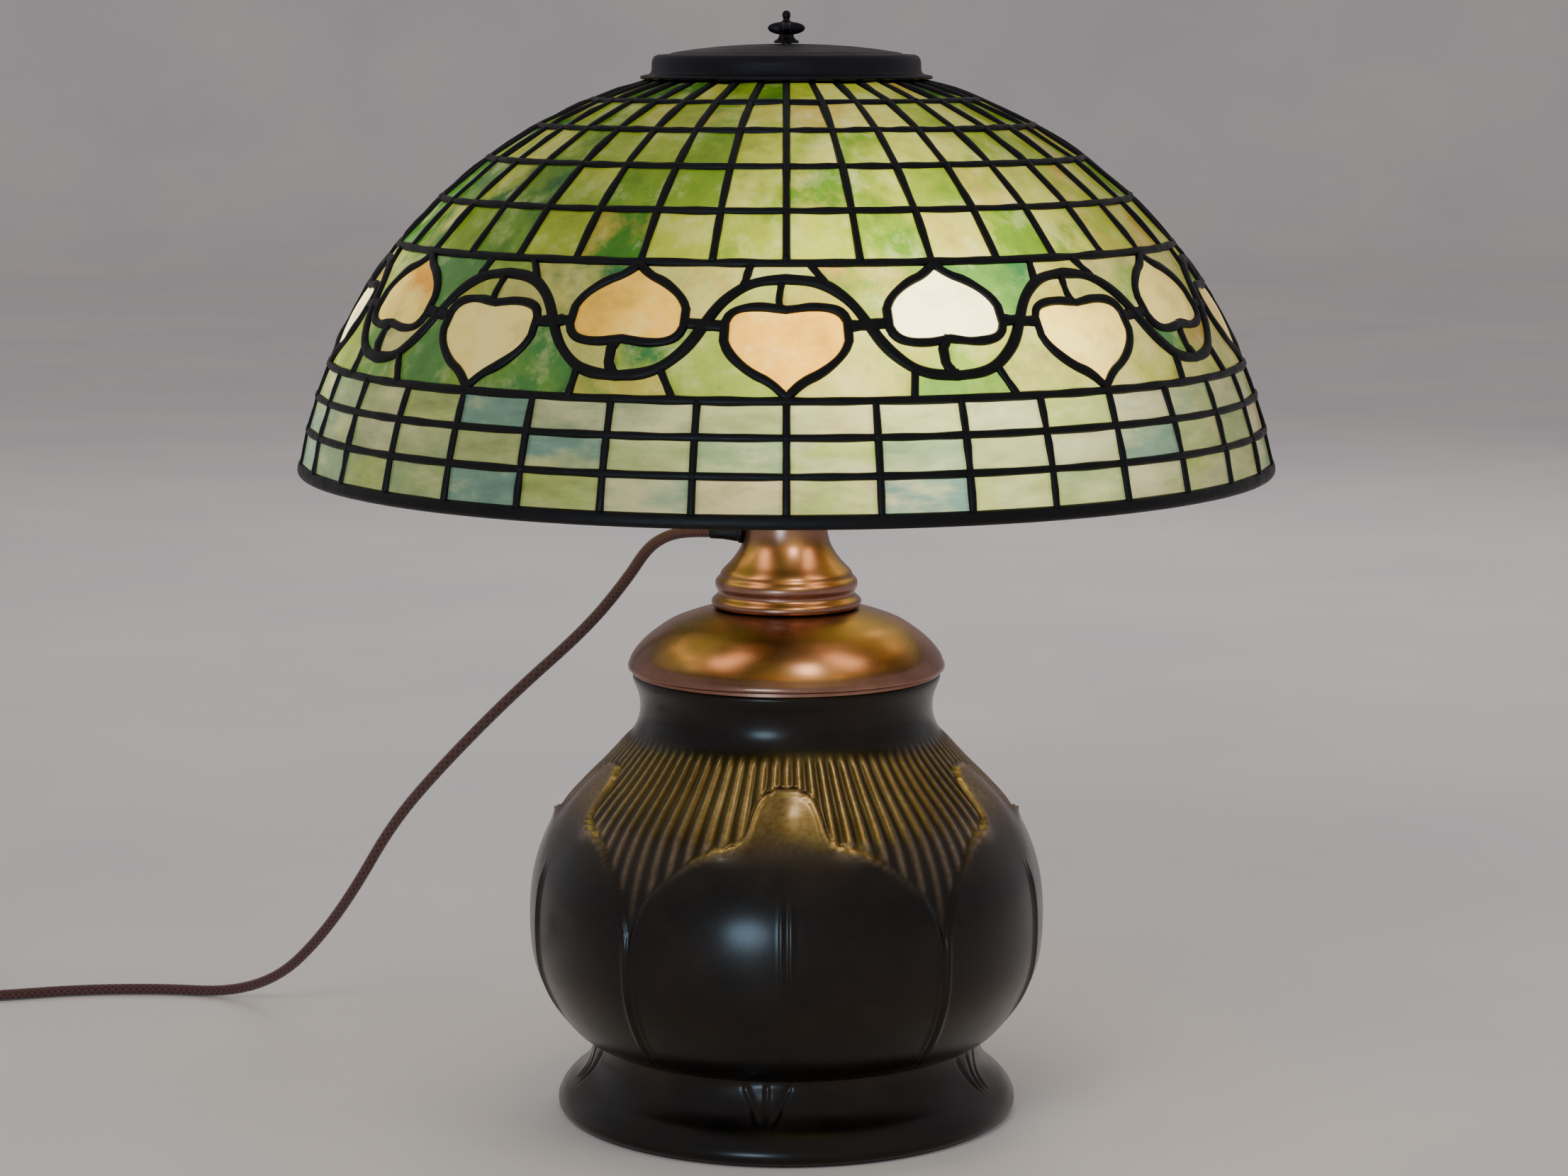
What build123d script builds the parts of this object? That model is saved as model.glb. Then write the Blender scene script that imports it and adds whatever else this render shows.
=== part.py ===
"""Stained glass table lamp: a leaded dome shade on a cast urn base.

Millimetres, +Z up. The origin is the centre of the base, on the surface that the lamp stands on.
The front is -Y. A turn is an angle round the lamp from the front, towards +X.
"""

import math
import os

from build123d import *

os.makedirs("parts", exist_ok=True)

# Shade: its profile is one arc in the radius-height plane, and a rise is an angle up that arc
dome_centre_radius = 7.4
dome_centre_height = 246.5
dome_arc = 198.0
columns = 36
repeats = 9
rim_rise = 9.0
lower_rises = (10.6, 14.6, 18.8, 22.85)
upper_rises = (39.5, 46.9, 54.2, 61.3, 68.4, 75.5)
glass = 3.0
came = 4.6
came_width = 2.8
outline_width = 3.6
glass_gap = 0.06
tile_sink = 0.35

# Pipe, finial and shade support
pipe = 4.8
pipe_bore = 3.2
pipe_low = 1.6
pipe_high = 440.0
fit_gap = 0.1
stud = 2.1
stud_high = 461.5
ring_low = 436.2
ring_high = 440.3
ring_inner = 50.0
wheel_high = ring_low - 0.1
cap_low = ring_high + 0.3
cap_flange = 61.0
cap_drum = 56.2
cap_drum_high = 450.6
cap_crown = 455.3
cap_skin = 1.8
finial_low = 455.5
finial_high = 469.0

# Base
foot_low = 1.0
urn_wall = 3.6
lip_radius = 66.0
lip_height = 190.0
leaf_count = 5
leaf_relief = 1.3
plate_low = 8.0
plate_high = 11.0
plate_radius = 89.0
ledge_radius = 80.0
font_radius = 56.0
font_low = 62.0
flange_high = lip_height + 1.4
neck_low = 218.3
neck_high = 262.0

# Lampholders and bulbs
holder_turns = (60.0, 180.0, 300.0)
holder_start_radius = 24.0
holder_start_height = 388.0
holder_drop = 35.0
cap_length = 18.0
shell_radius = 17.3
shell_end = 57.0
core_start = 19.0
core_end = 31.0
key_at = 25.0
key_shaft = 1.5
key_gap = 0.05
bulb_screw = 13.0
bulb_start = 58.0
bulb_radius = 24.0
bulb_centre = 100.0

# Mains cord
cord = 2.5
gland_start = Vector(-12.5, 1.2, 249.4)
gland_end = Vector(-32.5, 3.4, 249.6)
cord_route = (
    gland_end,
    Vector(-42.0, 4.45, 249.7),
    Vector(-51.4, 7.4, 247.3),
    Vector(-59.8, 12.0, 241.2),
    Vector(-68.5, 19.5, 227.0),
    Vector(-87.0, 34.5, 203.0),
    Vector(-122.0, 65.0, 168.5),
    Vector(-157.0, 94.0, 130.0),
    Vector(-182.0, 116.0, 99.0),
    Vector(-203.0, 134.0, 62.0),
    Vector(-222.0, 149.0, 35.0),
    Vector(-242.0, 163.0, 14.0),
    Vector(-268.0, 177.0, 2.6),
    Vector(-302.0, 184.0, 2.6),
    Vector(-342.0, 182.0, 2.6),
    Vector(-378.0, 171.0, 2.6),
    Vector(-404.0, 165.0, 2.8),
    Vector(-424.0, 164.6, 3.3),
)
coil_x = -438.0
coil_y = 196.0
coil_inner = 18.4
coil_outer = 34.1
coil_low = 0.7
coil_high = 16.3
tie_skin = 0.6
tail_x = coil_x - 31.4
plug_low_y = 228.0
plug_height = 9.2


def finish(shape, name):
    """Name a finished piece and write it."""
    shape.label = name
    export_step(shape, f"parts/{name}.step")


def on_dome(rise, out=0.0):
    """Radius and height of the shade's profile at a rise, out mm outside it."""
    angle = math.radians(rise)
    reach = dome_arc + out
    return (
        dome_centre_radius + reach * math.cos(angle),
        dome_centre_height + reach * math.sin(angle),
    )


def dome_plane(turn, rise, sink=0.0):
    """Plane on the dome: x runs along its rows, y up its columns and z outwards."""
    around = math.radians(turn)
    up = math.radians(rise)
    radius, height = on_dome(rise, -sink)
    return Plane(
        origin=(radius * math.sin(around), -radius * math.cos(around), height),
        x_dir=(math.cos(around), math.sin(around), 0),
        z_dir=(math.cos(up) * math.sin(around), -math.cos(up) * math.cos(around), math.sin(up)),
    )


def dome_band(low, high, thickness):
    """Part of a dome of this thickness between two rises, cut square to its wall."""
    half = thickness / 2
    middle = (low + high) / 2
    with BuildPart() as band:
        with BuildSketch(Plane.XZ):
            with BuildLine():
                outer = ThreePointArc(on_dome(low, half), on_dome(middle, half), on_dome(high, half))
                inner = ThreePointArc(on_dome(high, -half), on_dome(middle, -half), on_dome(low, -half))
                Line(outer @ 1, inner @ 0)
                Line(inner @ 1, outer @ 0)
            make_face()
        revolve(axis=Axis.Z)
    return band.part


def flat_tile(low, high, inset, thickness):
    """Flat trapezium of glass in one column between two rises, inset from its lead lines."""
    half_column = math.tan(math.radians(180 / columns))
    half_height = dome_arc * math.sin(math.radians((high - low) / 2))
    low_half = on_dome(low)[0] * half_column
    high_half = on_dome(high)[0] * half_column
    with BuildPart() as tile:
        with BuildSketch(dome_plane(180 / columns, (low + high) / 2, tile_sink)):
            with BuildLine():
                Polyline(
                    (-low_half, -half_height),
                    (low_half, -half_height),
                    (high_half, half_height),
                    (-high_half, half_height),
                    close=True,
                )
            make_face()
            offset(amount=-inset, kind=Kind.INTERSECTION)
        extrude(amount=thickness / 2, both=True)
    return tile.part


def tile_row(low, high, name):
    """One ring of tiles and the soldered leading that holds them."""
    with BuildPart() as row:
        with PolarLocations(0, columns):
            add(flat_tile(low, high, came_width / 2, glass))
    finish(row.part, f"glass_{name}")
    with BuildPart() as leading:
        add(dome_band(low, high, came))
        with PolarLocations(0, columns):
            add(flat_tile(low, high, came_width / 2 - glass_gap, 3 * came), mode=Mode.SUBTRACT)
    finish(leading.part, f"leading_{name}")


for number, (low, high) in enumerate(zip(lower_rises, lower_rises[1:]), 1):
    tile_row(low, high, f"lower_row_{number}")

for number, (low, high) in enumerate(zip(upper_rises, upper_rises[1:]), 1):
    tile_row(low, high, f"upper_row_{number}")

# Motif band. A place in it is a turn in degrees from the middle of an acorn, and a height from 0 at the
# lower border to 1 at the upper one. Every other acorn is upside down, half a repeat further round.
band_low = lower_rises[-1]
band_high = upper_rises[0]
band_middle = (band_low + band_high) / 2
half_repeat = 180 / repeats
acorn_tip = (0.0, 0.03)
acorn_flare = (3.6, 0.18)
acorn_side = (7.65, 0.48)
acorn_shoulder = (4.4, 0.658)
acorn_dip = (0.0, 0.64)
vine_crest = (0.0, 0.89)
vine_middle = (9.6, 0.54)
vine_low = (15.6, 0.172)
trough_middle = (20.0, 0.11)


def placed(centre, upside_down, turn, height):
    """A place in the band, as a point on the plane at the turn called centre."""
    if upside_down:
        height = 1 - height
    rise = band_low + height * (band_high - band_low)
    radius, level = on_dome(rise)
    middle_radius, middle_level = on_dome(band_middle)
    up = math.radians(band_middle)
    across = radius * math.sin(math.radians(turn - centre))
    inward = middle_radius - radius * math.cos(math.radians(turn - centre))
    return (across, inward * math.sin(up) + (level - middle_level) * math.cos(up))


def band_prism(centre, upside_down, side, pieces, inset):
    """A thick plate cut to an outline of lines and arcs, inset from the middle of its lead lines."""

    def at(place):
        return placed(centre * side, upside_down, place[0] * side, place[1])

    with BuildPart() as prism:
        shift = half_repeat if upside_down else 0.0
        with BuildSketch(dome_plane(shift + centre * side, band_middle)):
            with BuildLine():
                for piece in pieces:
                    if len(piece) == 3:
                        ThreePointArc(*[at(place) for place in piece])
                    else:
                        Line(*[at(place) for place in piece])
            make_face()
            offset(amount=-inset)
        extrude(amount=14.0, both=True)
    return prism.part


def mirrored_turn(place):
    """The same place on the other side of the acorn."""
    return (-place[0], place[1])


acorn_flare_bulge = (1.55, 0.115)
acorn_low_bulge = (6.4, 0.30)
acorn_high_bulge = (6.75, 0.61)
acorn_crown_bulge = (2.1, 0.662)
vine_high_bulge = (5.4, 0.80)
vine_low_bulge = (12.3, 0.31)
border_foot = (15.2, 0.0)
low_corner = (0.0, 0.0)
acorn_half = [
    (acorn_tip, acorn_flare_bulge, acorn_flare),
    (acorn_flare, acorn_low_bulge, acorn_side),
    (acorn_side, acorn_high_bulge, acorn_shoulder),
    (acorn_shoulder, acorn_crown_bulge, acorn_dip),
]
acorn_outline = acorn_half + [tuple(mirrored_turn(place) for place in piece) for piece in acorn_half]
crescent_outline = [
    (acorn_dip, acorn_crown_bulge, acorn_shoulder),
    (acorn_shoulder, acorn_high_bulge, acorn_side),
    (acorn_side, vine_middle),
    (vine_middle, vine_high_bulge, vine_crest),
    (vine_crest, acorn_dip),
]
background_outline = [
    (acorn_tip, acorn_flare_bulge, acorn_flare),
    (acorn_flare, acorn_low_bulge, acorn_side),
    (acorn_side, vine_middle),
    (vine_middle, vine_low_bulge, vine_low),
    (vine_low, border_foot),
    (border_foot, (7.6, 0.0), low_corner),
    (low_corner, acorn_tip),
]
strip_outline = [
    (vine_low, trough_middle, (2 * half_repeat - vine_low[0], vine_low[1])),
    ((2 * half_repeat - vine_low[0], vine_low[1]), (2 * half_repeat - border_foot[0], 0.0)),
    ((2 * half_repeat - border_foot[0], 0.0), (half_repeat, 0.0), border_foot),
    (border_foot, vine_low),
]
acorn_inset = outline_width / 2
came_inset = came_width / 2
motif = {
    "acorn_glass": (acorn_outline, 0.0, (1,), acorn_inset),
    "crescent_glass": (crescent_outline, 5.0, (1, -1), acorn_inset),
    "background_glass": (background_outline, 8.0, (1, -1), came_inset),
    "edge_strip_glass": (strip_outline, half_repeat, (1,), came_inset),
}


def motif_prisms(outline, centre, sides, inset):
    """The plates of one kind of piece for one repeat, upright and upside down."""
    return [
        band_prism(centre, upside_down, side, outline, inset)
        for upside_down in (False, True)
        for side in sides
    ]


glass_band = dome_band(band_low, band_high, glass)
for name, (outline, centre, sides, inset) in motif.items():
    plates = [plate & glass_band for plate in motif_prisms(outline, centre, sides, inset)]
    with BuildPart() as motif_glass:
        with PolarLocations(0, repeats):
            for plate in plates:
                add(plate)
    finish(motif_glass.part, name)

with BuildPart() as band_leading:
    add(dome_band(band_low, band_high, came))
    for outline, centre, sides, inset in motif.values():
        for plate in motif_prisms(outline, centre, sides, inset - glass_gap):
            with PolarLocations(0, repeats):
                add(plate, mode=Mode.SUBTRACT)
finish(band_leading.part, "band_leading")

with BuildPart() as rim_band:
    add(dome_band(rim_rise, lower_rises[0], came + 1.4))
finish(rim_band.part, "rim_band")

# Rolled ring at the top of the shade, just inside the end of its wall
with BuildPart() as shade_top_ring:
    inner_corner = on_dome(upper_rises[-1] + 0.03, -came / 2)
    outer_corner = on_dome(upper_rises[-1] + 0.03, came / 2)
    with BuildSketch(Plane.XZ):
        with BuildLine():
            Polyline(
                (ring_inner, ring_low),
                (inner_corner[0], ring_low),
                outer_corner,
                (ring_inner, ring_high),
                close=True,
            )
        make_face()
    revolve(axis=Axis.Z)
finish(shade_top_ring.part, "shade_top_ring")

# Heat cap: a pressed disc with a flange, a rounded drum and a low crown
with BuildPart() as heat_cap:
    with BuildSketch(Plane.XZ):
        with BuildLine():
            Polyline(
                (cap_drum - cap_skin, cap_low),
                (cap_flange, cap_low),
                (cap_flange, cap_low + 1.6),
                (cap_drum + 0.6, cap_low + 2.4),
                (cap_drum, cap_low + 3.4),
                (cap_drum, cap_drum_high - 3.4),
            )
            ThreePointArc(
                (cap_drum, cap_drum_high - 3.4),
                (cap_drum - 1.0, cap_drum_high - 1.0),
                (cap_drum - 3.4, cap_drum_high),
            )
            Line((cap_drum - 3.4, cap_drum_high), (cap_drum - 8.0, cap_drum_high + 0.4))
            ThreePointArc(
                (cap_drum - 8.0, cap_drum_high + 0.4),
                (24.0, cap_crown - 1.0),
                (stud + 0.5, cap_crown),
            )
            Line((stud + 0.5, cap_crown), (stud + 0.5, cap_crown - cap_skin))
            ThreePointArc(
                (stud + 0.5, cap_crown - cap_skin),
                (24.0, cap_crown - 1.0 - cap_skin),
                (cap_drum - 8.0, cap_drum_high + 0.4 - cap_skin),
            )
            Polyline(
                (cap_drum - 8.0, cap_drum_high + 0.4 - cap_skin),
                (cap_drum - 3.4, cap_drum_high - cap_skin),
                (cap_drum - cap_skin, cap_drum_high - 3.4),
                (cap_drum - cap_skin, cap_low),
            )
        make_face()
    revolve(axis=Axis.Z)
finish(heat_cap.part, "heat_cap")

# Finial: a flared foot, a waisted body, four side lobes and a small ball
finial_bore_high = stud_high + 0.6
finial_ball = 1.75
with BuildPart() as finial:
    with BuildSketch(Plane.XZ):
        with BuildLine():
            Polyline((0, finial_low), (5.2, finial_low), (5.2, finial_low + 0.8))
            ThreePointArc((5.2, finial_low + 0.8), (3.6, finial_low + 2.0), (3.3, finial_low + 3.4))
            ThreePointArc((3.3, finial_low + 3.4), (4.1, finial_low + 6.0), (3.0, finial_low + 8.6))
            ThreePointArc((3.0, finial_low + 8.6), (1.4, finial_low + 9.4), (1.3, finial_low + 10.4))
            Polyline((1.3, finial_low + 10.4), (0, finial_low + 10.4), (0, finial_low))
        make_face()
    revolve(axis=Axis.Z)
    with Locations((0, 0, finial_high - finial_ball)):
        Sphere(finial_ball)
    with Locations((0, 0, finial_low + 6.2)):
        with PolarLocations(5.3, 4):
            Sphere(2.5)
    with Locations((0, 0, finial_low)):
        Cylinder(
            stud + key_gap,
            finial_bore_high - finial_low,
            align=(Align.CENTER, Align.CENTER, Align.MIN),
            mode=Mode.SUBTRACT,
        )
finish(finial.part, "finial")

# Shade wheel: hub, four spokes and the ring that the shade's top ring rests on
with BuildPart() as shade_wheel:
    with BuildSketch(Plane.XY.offset(wheel_high - 3.5)):
        Circle(54.0)
        Circle(47.0, mode=Mode.SUBTRACT)
        with Locations((0, 0)):
            Rectangle(100.0, 7.0)
            Rectangle(7.0, 100.0)
    extrude(amount=3.5)
    with BuildSketch(Plane.XY.offset(wheel_high - 5.5)):
        Circle(11.0)
    extrude(amount=7.0)
    with BuildSketch(Plane.XY.offset(wheel_high - 6.0)):
        Circle(pipe + fit_gap)
    extrude(amount=10.0, mode=Mode.SUBTRACT)
finish(shade_wheel.part, "shade_wheel")

with BuildPart() as wheel_nuts:
    for height in (wheel_high - 9.5, wheel_high + 1.5):
        with BuildSketch(Plane.XY.offset(height)):
            RegularPolygon(radius=7.6, side_count=6, major_radius=False)
            Circle(pipe + fit_gap, mode=Mode.SUBTRACT)
        extrude(amount=2.4 if height > wheel_high else 4.0)
finish(wheel_nuts.part, "wheel_nuts")

with BuildPart() as lamp_pipe:
    with BuildSketch(Plane.XY.offset(pipe_low)):
        Circle(pipe)
        Circle(pipe_bore, mode=Mode.SUBTRACT)
    extrude(amount=pipe_high - pipe_low)
finish(lamp_pipe.part, "lamp_pipe")

with BuildPart() as finial_stud:
    with BuildSketch(Plane.XY.offset(pipe_high - 14.0)):
        Circle(pipe_bore)
    extrude(amount=14.0)
    with BuildSketch(Plane.XY.offset(pipe_high)):
        Circle(stud)
    extrude(amount=stud_high - pipe_high)
finish(finial_stud.part, "finial_stud")

# Base: felt, plate, weight and nut
with BuildPart() as felt_pad:
    with BuildSketch(Plane.XY):
        Circle(95.5)
    extrude(amount=foot_low)
finish(felt_pad.part, "felt_pad")

with BuildPart() as base_plate:
    with BuildSketch(Plane.XY.offset(plate_low)):
        Circle(plate_radius)
        Circle(pipe + fit_gap, mode=Mode.SUBTRACT)
    extrude(amount=plate_high - plate_low)
finish(base_plate.part, "base_plate")

with BuildPart() as bottom_nut:
    with BuildSketch(Plane.XY.offset(plate_low - 1.5)):
        Circle(12.0)
        Circle(pipe + fit_gap, mode=Mode.SUBTRACT)
    extrude(amount=1.5)
    with BuildSketch(Plane.XY.offset(plate_low - 6.0)):
        RegularPolygon(radius=8.0, side_count=6, major_radius=False)
        Circle(pipe + fit_gap, mode=Mode.SUBTRACT)
    extrude(amount=4.5)
finish(bottom_nut.part, "bottom_nut")

with BuildPart() as ballast_weight:
    with BuildSketch(Plane.XY.offset(plate_high)):
        Circle(74.0)
        Circle(pipe + 2.0, mode=Mode.SUBTRACT)
    extrude(amount=20.0)
    fillet(ballast_weight.edges().group_by(Axis.Z)[-1].sort_by(SortBy.RADIUS)[-1], radius=4.0)
finish(ballast_weight.part, "ballast_weight")

# Urn: belly, shoulder and lip follow one curve, and the foot is a second one
belly_points = (
    (83.4, 34.0),
    (91.8, 39.3),
    (100.5, 51.0),
    (107.1, 66.0),
    (109.0, 83.0),
    (107.9, 101.0),
    (103.6, 116.6),
    (96.4, 130.5),
    (87.4, 141.0),
    (76.5, 152.0),
    (62.6, 172.0),
    (lip_radius, lip_height - 2.0),
)


def shifted_belly(out):
    """The belly's points moved square to the curve by out mm, for its inner face or for relief."""
    moved = []
    for index, (radius, height) in enumerate(belly_points):
        before = belly_points[max(index - 1, 0)]
        after = belly_points[min(index + 1, len(belly_points) - 1)]
        run = math.hypot(after[0] - before[0], after[1] - before[1])
        moved.append(
            (
                radius + out * (after[1] - before[1]) / run,
                height - out * (after[0] - before[0]) / run,
            )
        )
    return moved


with BuildPart() as belly_leaf:
    with BuildSketch(Plane.XZ):
        with BuildLine():
            relief_outer = Spline(*shifted_belly(leaf_relief))
            relief_inner = Spline(*reversed(shifted_belly(-1.2)))
            Line(relief_outer @ 1, relief_inner @ 0)
            Line(relief_inner @ 1, relief_outer @ 0)
        make_face()
    revolve(axis=Axis.Z)
    with BuildSketch(Plane.XZ.offset(30.0)):
        with BuildLine():
            for side in (1, -1):
                ThreePointArc((0, 153.0), (side * 8.0, 151.4), (side * 12.6, 146.5))
                Line((side * 12.6, 146.5), (side * 15.0, 138.6))
                ThreePointArc((side * 15.0, 138.6), (side * 19.0, 133.4), (side * 30.0, 130.5))
                ThreePointArc((side * 30.0, 130.5), (side * 50.0, 117.0), (side * 63.5, 90.0))
                Line((side * 63.5, 90.0), (side * 53.0, 42.0))
            Line((-53.0, 42.0), (53.0, 42.0))
        make_face()
    extrude(amount=100.0, mode=Mode.INTERSECT)

with BuildPart() as urn_body:
    with BuildSketch(Plane.XZ):
        with BuildLine():
            inner = shifted_belly(-urn_wall)
            Line((90.0, foot_low), (97.9, foot_low))
            Spline((97.9, foot_low), (98.6, 6.0), (93.8, 13.0), (87.0, 19.5), (83.4, 27.0), belly_points[0])
            Spline(*belly_points)
            Line(belly_points[-1], (lip_radius, lip_height))
            Line((lip_radius, lip_height), (lip_radius - urn_wall, lip_height))
            Line((lip_radius - urn_wall, lip_height), inner[-1])
            Spline(*reversed(inner))
            Polyline(
                inner[0],
                (80.0 - urn_wall, 26.0),
                (ledge_radius - urn_wall, plate_high + 0.1),
                (90.0, plate_high + 0.1),
                (90.0, foot_low),
            )
        make_face()
    revolve(axis=Axis.Z)
    with PolarLocations(0, leaf_count):
        add(belly_leaf.part)
finish(urn_body.part, "urn_body")

# Font: a closed brass can that hangs by its flange on the urn's lip
with BuildPart() as font_canister:
    with BuildSketch(Plane.XZ):
        with BuildLine():
            Polyline(
                (pipe + fit_gap, font_low),
                (font_radius, font_low),
                (font_radius, lip_height + 0.05),
                (lip_radius - 0.4, lip_height + 0.05),
                (lip_radius - 0.4, flange_high),
                (pipe + fit_gap, flange_high),
                (pipe + fit_gap, flange_high - 1.2),
                (font_radius - 1.0, flange_high - 1.2),
                (font_radius - 1.0, font_low + 1.0),
                (pipe + fit_gap, font_low + 1.0),
                close=True,
            )
        make_face()
    revolve(axis=Axis.Z)
finish(font_canister.part, "font_canister")

# Cover: a spun dome with a rolled lower edge
with BuildPart() as cover_dome:
    with BuildSketch(Plane.XZ):
        with BuildLine():
            Line((65.6, flange_high + 0.05), (67.4, flange_high + 0.05))
            Spline((67.4, flange_high + 0.05), (66.0, 197.5), (60.5, 204.0), (49.6, 211.7), (31.2, 217.6))
            Polyline((31.2, 217.6), (26.0, 218.2), (26.0, 216.6), (31.0, 216.0))
            Spline((31.0, 216.0), (48.8, 210.2), (59.2, 203.0), (64.4, 196.8), (65.6, flange_high + 0.05))
        make_face()
    revolve(axis=Axis.Z)
finish(cover_dome.part, "cover_dome")

# Neck: two beads and a concave stem, open at both ends, with a hole for the cord's gland
gland_axis = (gland_end - gland_start).normalized()
with BuildPart() as lamp_neck:
    with BuildSketch(Plane.XZ):
        with BuildLine():
            Line((24.0, neck_low), (30.4, neck_low))
            ThreePointArc((30.4, neck_low), (32.0, 220.4), (30.6, 222.8))
            Line((30.6, 222.8), (29.2, 224.4))
            ThreePointArc((29.2, 224.4), (29.9, 229.0), (28.0, 232.6))
            Spline((28.0, 232.6), (23.8, 237.5), (19.0, 244.8), (17.5, 251.0), (17.0, neck_high))
            Line((17.0, neck_high), (15.2, neck_high))
            Spline((15.2, neck_high), (15.6, 250.0), (17.2, 243.6), (22.0, 236.0), (24.0, 231.5))
            Line((24.0, 231.5), (24.0, neck_low))
        make_face()
    revolve(axis=Axis.Z)
    with BuildSketch(Plane(origin=gland_start, z_dir=gland_axis)):
        Circle(3.3)
    extrude(amount=12.0, mode=Mode.SUBTRACT)
finish(lamp_neck.part, "lamp_neck")

with BuildPart() as neck_nut:
    with BuildSketch(Plane.XY.offset(neck_high + 0.05)):
        Circle(18.0)
        Circle(pipe + fit_gap, mode=Mode.SUBTRACT)
    extrude(amount=1.6)
    with BuildSketch(Plane.XY.offset(neck_high + 1.6)):
        RegularPolygon(radius=8.5, side_count=6, major_radius=False)
        Circle(pipe + fit_gap, mode=Mode.SUBTRACT)
    extrude(amount=5.0)
finish(neck_nut.part, "neck_nut")

# Gland: a threaded shank through the neck's wall and a tapered sleeve round the cord
with BuildPart() as cord_gland:
    with BuildSketch(Plane(origin=gland_start, z_dir=gland_axis)):
        Circle(3.2)
    extrude(amount=7.0)
    sleeve = Plane(origin=gland_start + gland_axis * 7.0, z_dir=gland_axis)
    with BuildSketch(sleeve):
        Circle(4.2)
    with BuildSketch(sleeve.offset(gland_end.sub(gland_start).length - 7.0)):
        Circle(3.0)
    loft()
finish(cord_gland.part, "cord_gland")


# Light fitting: a cluster body, and three lampholders that point outwards and down
def holder_plane(turn, along=0.0):
    """Plane across a lampholder, along mm from its start; z runs to the bulb's tip and x is level."""
    around = math.radians(turn)
    drop = math.radians(holder_drop)
    axis = Vector(math.cos(drop) * math.sin(around), -math.cos(drop) * math.cos(around), -math.sin(drop))
    start = Vector(
        holder_start_radius * math.sin(around),
        -holder_start_radius * math.cos(around),
        holder_start_height,
    )
    return Plane(origin=start + axis * along, x_dir=(math.cos(around), math.sin(around), 0), z_dir=axis)


def holder_sections(along):
    return [holder_plane(turn, along) for turn in holder_turns]


def across_holder(turn, sideways):
    """Plane that faces sideways out of a lampholder, where its key's shaft runs."""
    across = holder_plane(turn, key_at)
    return Plane(origin=across.origin + across.x_dir * sideways, x_dir=across.z_dir, z_dir=across.x_dir)


with BuildPart() as cluster_body:
    with BuildSketch(Plane.XZ):
        with BuildLine():
            Polyline((pipe + fit_gap, 380.0), (9.0, 380.0))
            ThreePointArc((9.0, 380.0), (13.4, 386.0), (13.8, 394.0))
            ThreePointArc((13.8, 394.0), (12.0, 401.0), (7.0, 405.0))
            Polyline((7.0, 405.0), (pipe + fit_gap, 405.0), (pipe + fit_gap, 380.0))
        make_face()
    revolve(axis=Axis.Z)
finish(cluster_body.part, "cluster_body")

with BuildPart() as cluster_arms:
    with BuildSketch(*holder_sections(-8.5)):
        Circle(5.0)
        Circle(3.0, mode=Mode.SUBTRACT)
    extrude(amount=8.5)
finish(cluster_arms.part, "cluster_arms")

with BuildPart() as socket_caps:
    with BuildSketch(*holder_sections(0.0)):
        Circle(8.0)
    with BuildSketch(*holder_sections(cap_length)):
        Circle(shell_radius)
    for start, end in zip(holder_sections(0.0), holder_sections(cap_length)):
        with BuildSketch(start, mode=Mode.PRIVATE) as narrow:
            Circle(8.0)
        with BuildSketch(end, mode=Mode.PRIVATE) as wide:
            Circle(shell_radius)
        loft(sections=[narrow.sketch, wide.sketch])
finish(socket_caps.part, "socket_caps")

key_holes = [across_holder(turn, 0.0) for turn in holder_turns]
with BuildPart() as socket_shells:
    with BuildSketch(*holder_sections(cap_length + 0.05)):
        Circle(shell_radius)
        Circle(shell_radius - 0.8, mode=Mode.SUBTRACT)
    extrude(amount=shell_end - cap_length)
    with BuildSketch(*key_holes):
        Circle(key_shaft + key_gap)
    extrude(amount=20.0, mode=Mode.SUBTRACT)
finish(socket_shells.part, "socket_shells")

with BuildPart() as socket_cores:
    with BuildSketch(*holder_sections(core_start)):
        Circle(15.5)
    extrude(amount=core_end - core_start)
    with BuildSketch(*key_holes):
        Circle(key_shaft + key_gap)
    extrude(amount=20.0, mode=Mode.SUBTRACT)
finish(socket_cores.part, "socket_cores")

with BuildPart() as screw_shells:
    with BuildSketch(*holder_sections(core_end + 0.5)):
        Circle(14.2)
        Circle(bulb_screw + 0.3, mode=Mode.SUBTRACT)
    extrude(amount=24.0)
finish(screw_shells.part, "screw_shells")

for number, turn in enumerate(holder_turns, 1):
    with BuildPart() as switch_key:
        with BuildSketch(across_holder(turn, 0.5)):
            Circle(key_shaft)
        extrude(amount=24.0)
        with BuildSketch(across_holder(turn, 24.5)):
            SlotOverall(12.0, 5.0)
        extrude(amount=6.0)
        fillet(switch_key.faces().filter_by(GeomType.PLANE).sort_by_distance(
            across_holder(turn, 40.0).origin)[0].edges(), radius=1.2)
    finish(switch_key.part, f"switch_key_{number}")

with BuildPart() as bulb_bases:
    with BuildSketch(*holder_sections(core_end + 3.0)):
        Circle(bulb_screw)
    extrude(amount=bulb_start - core_end - 3.0)
finish(bulb_bases.part, "bulb_bases")

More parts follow.
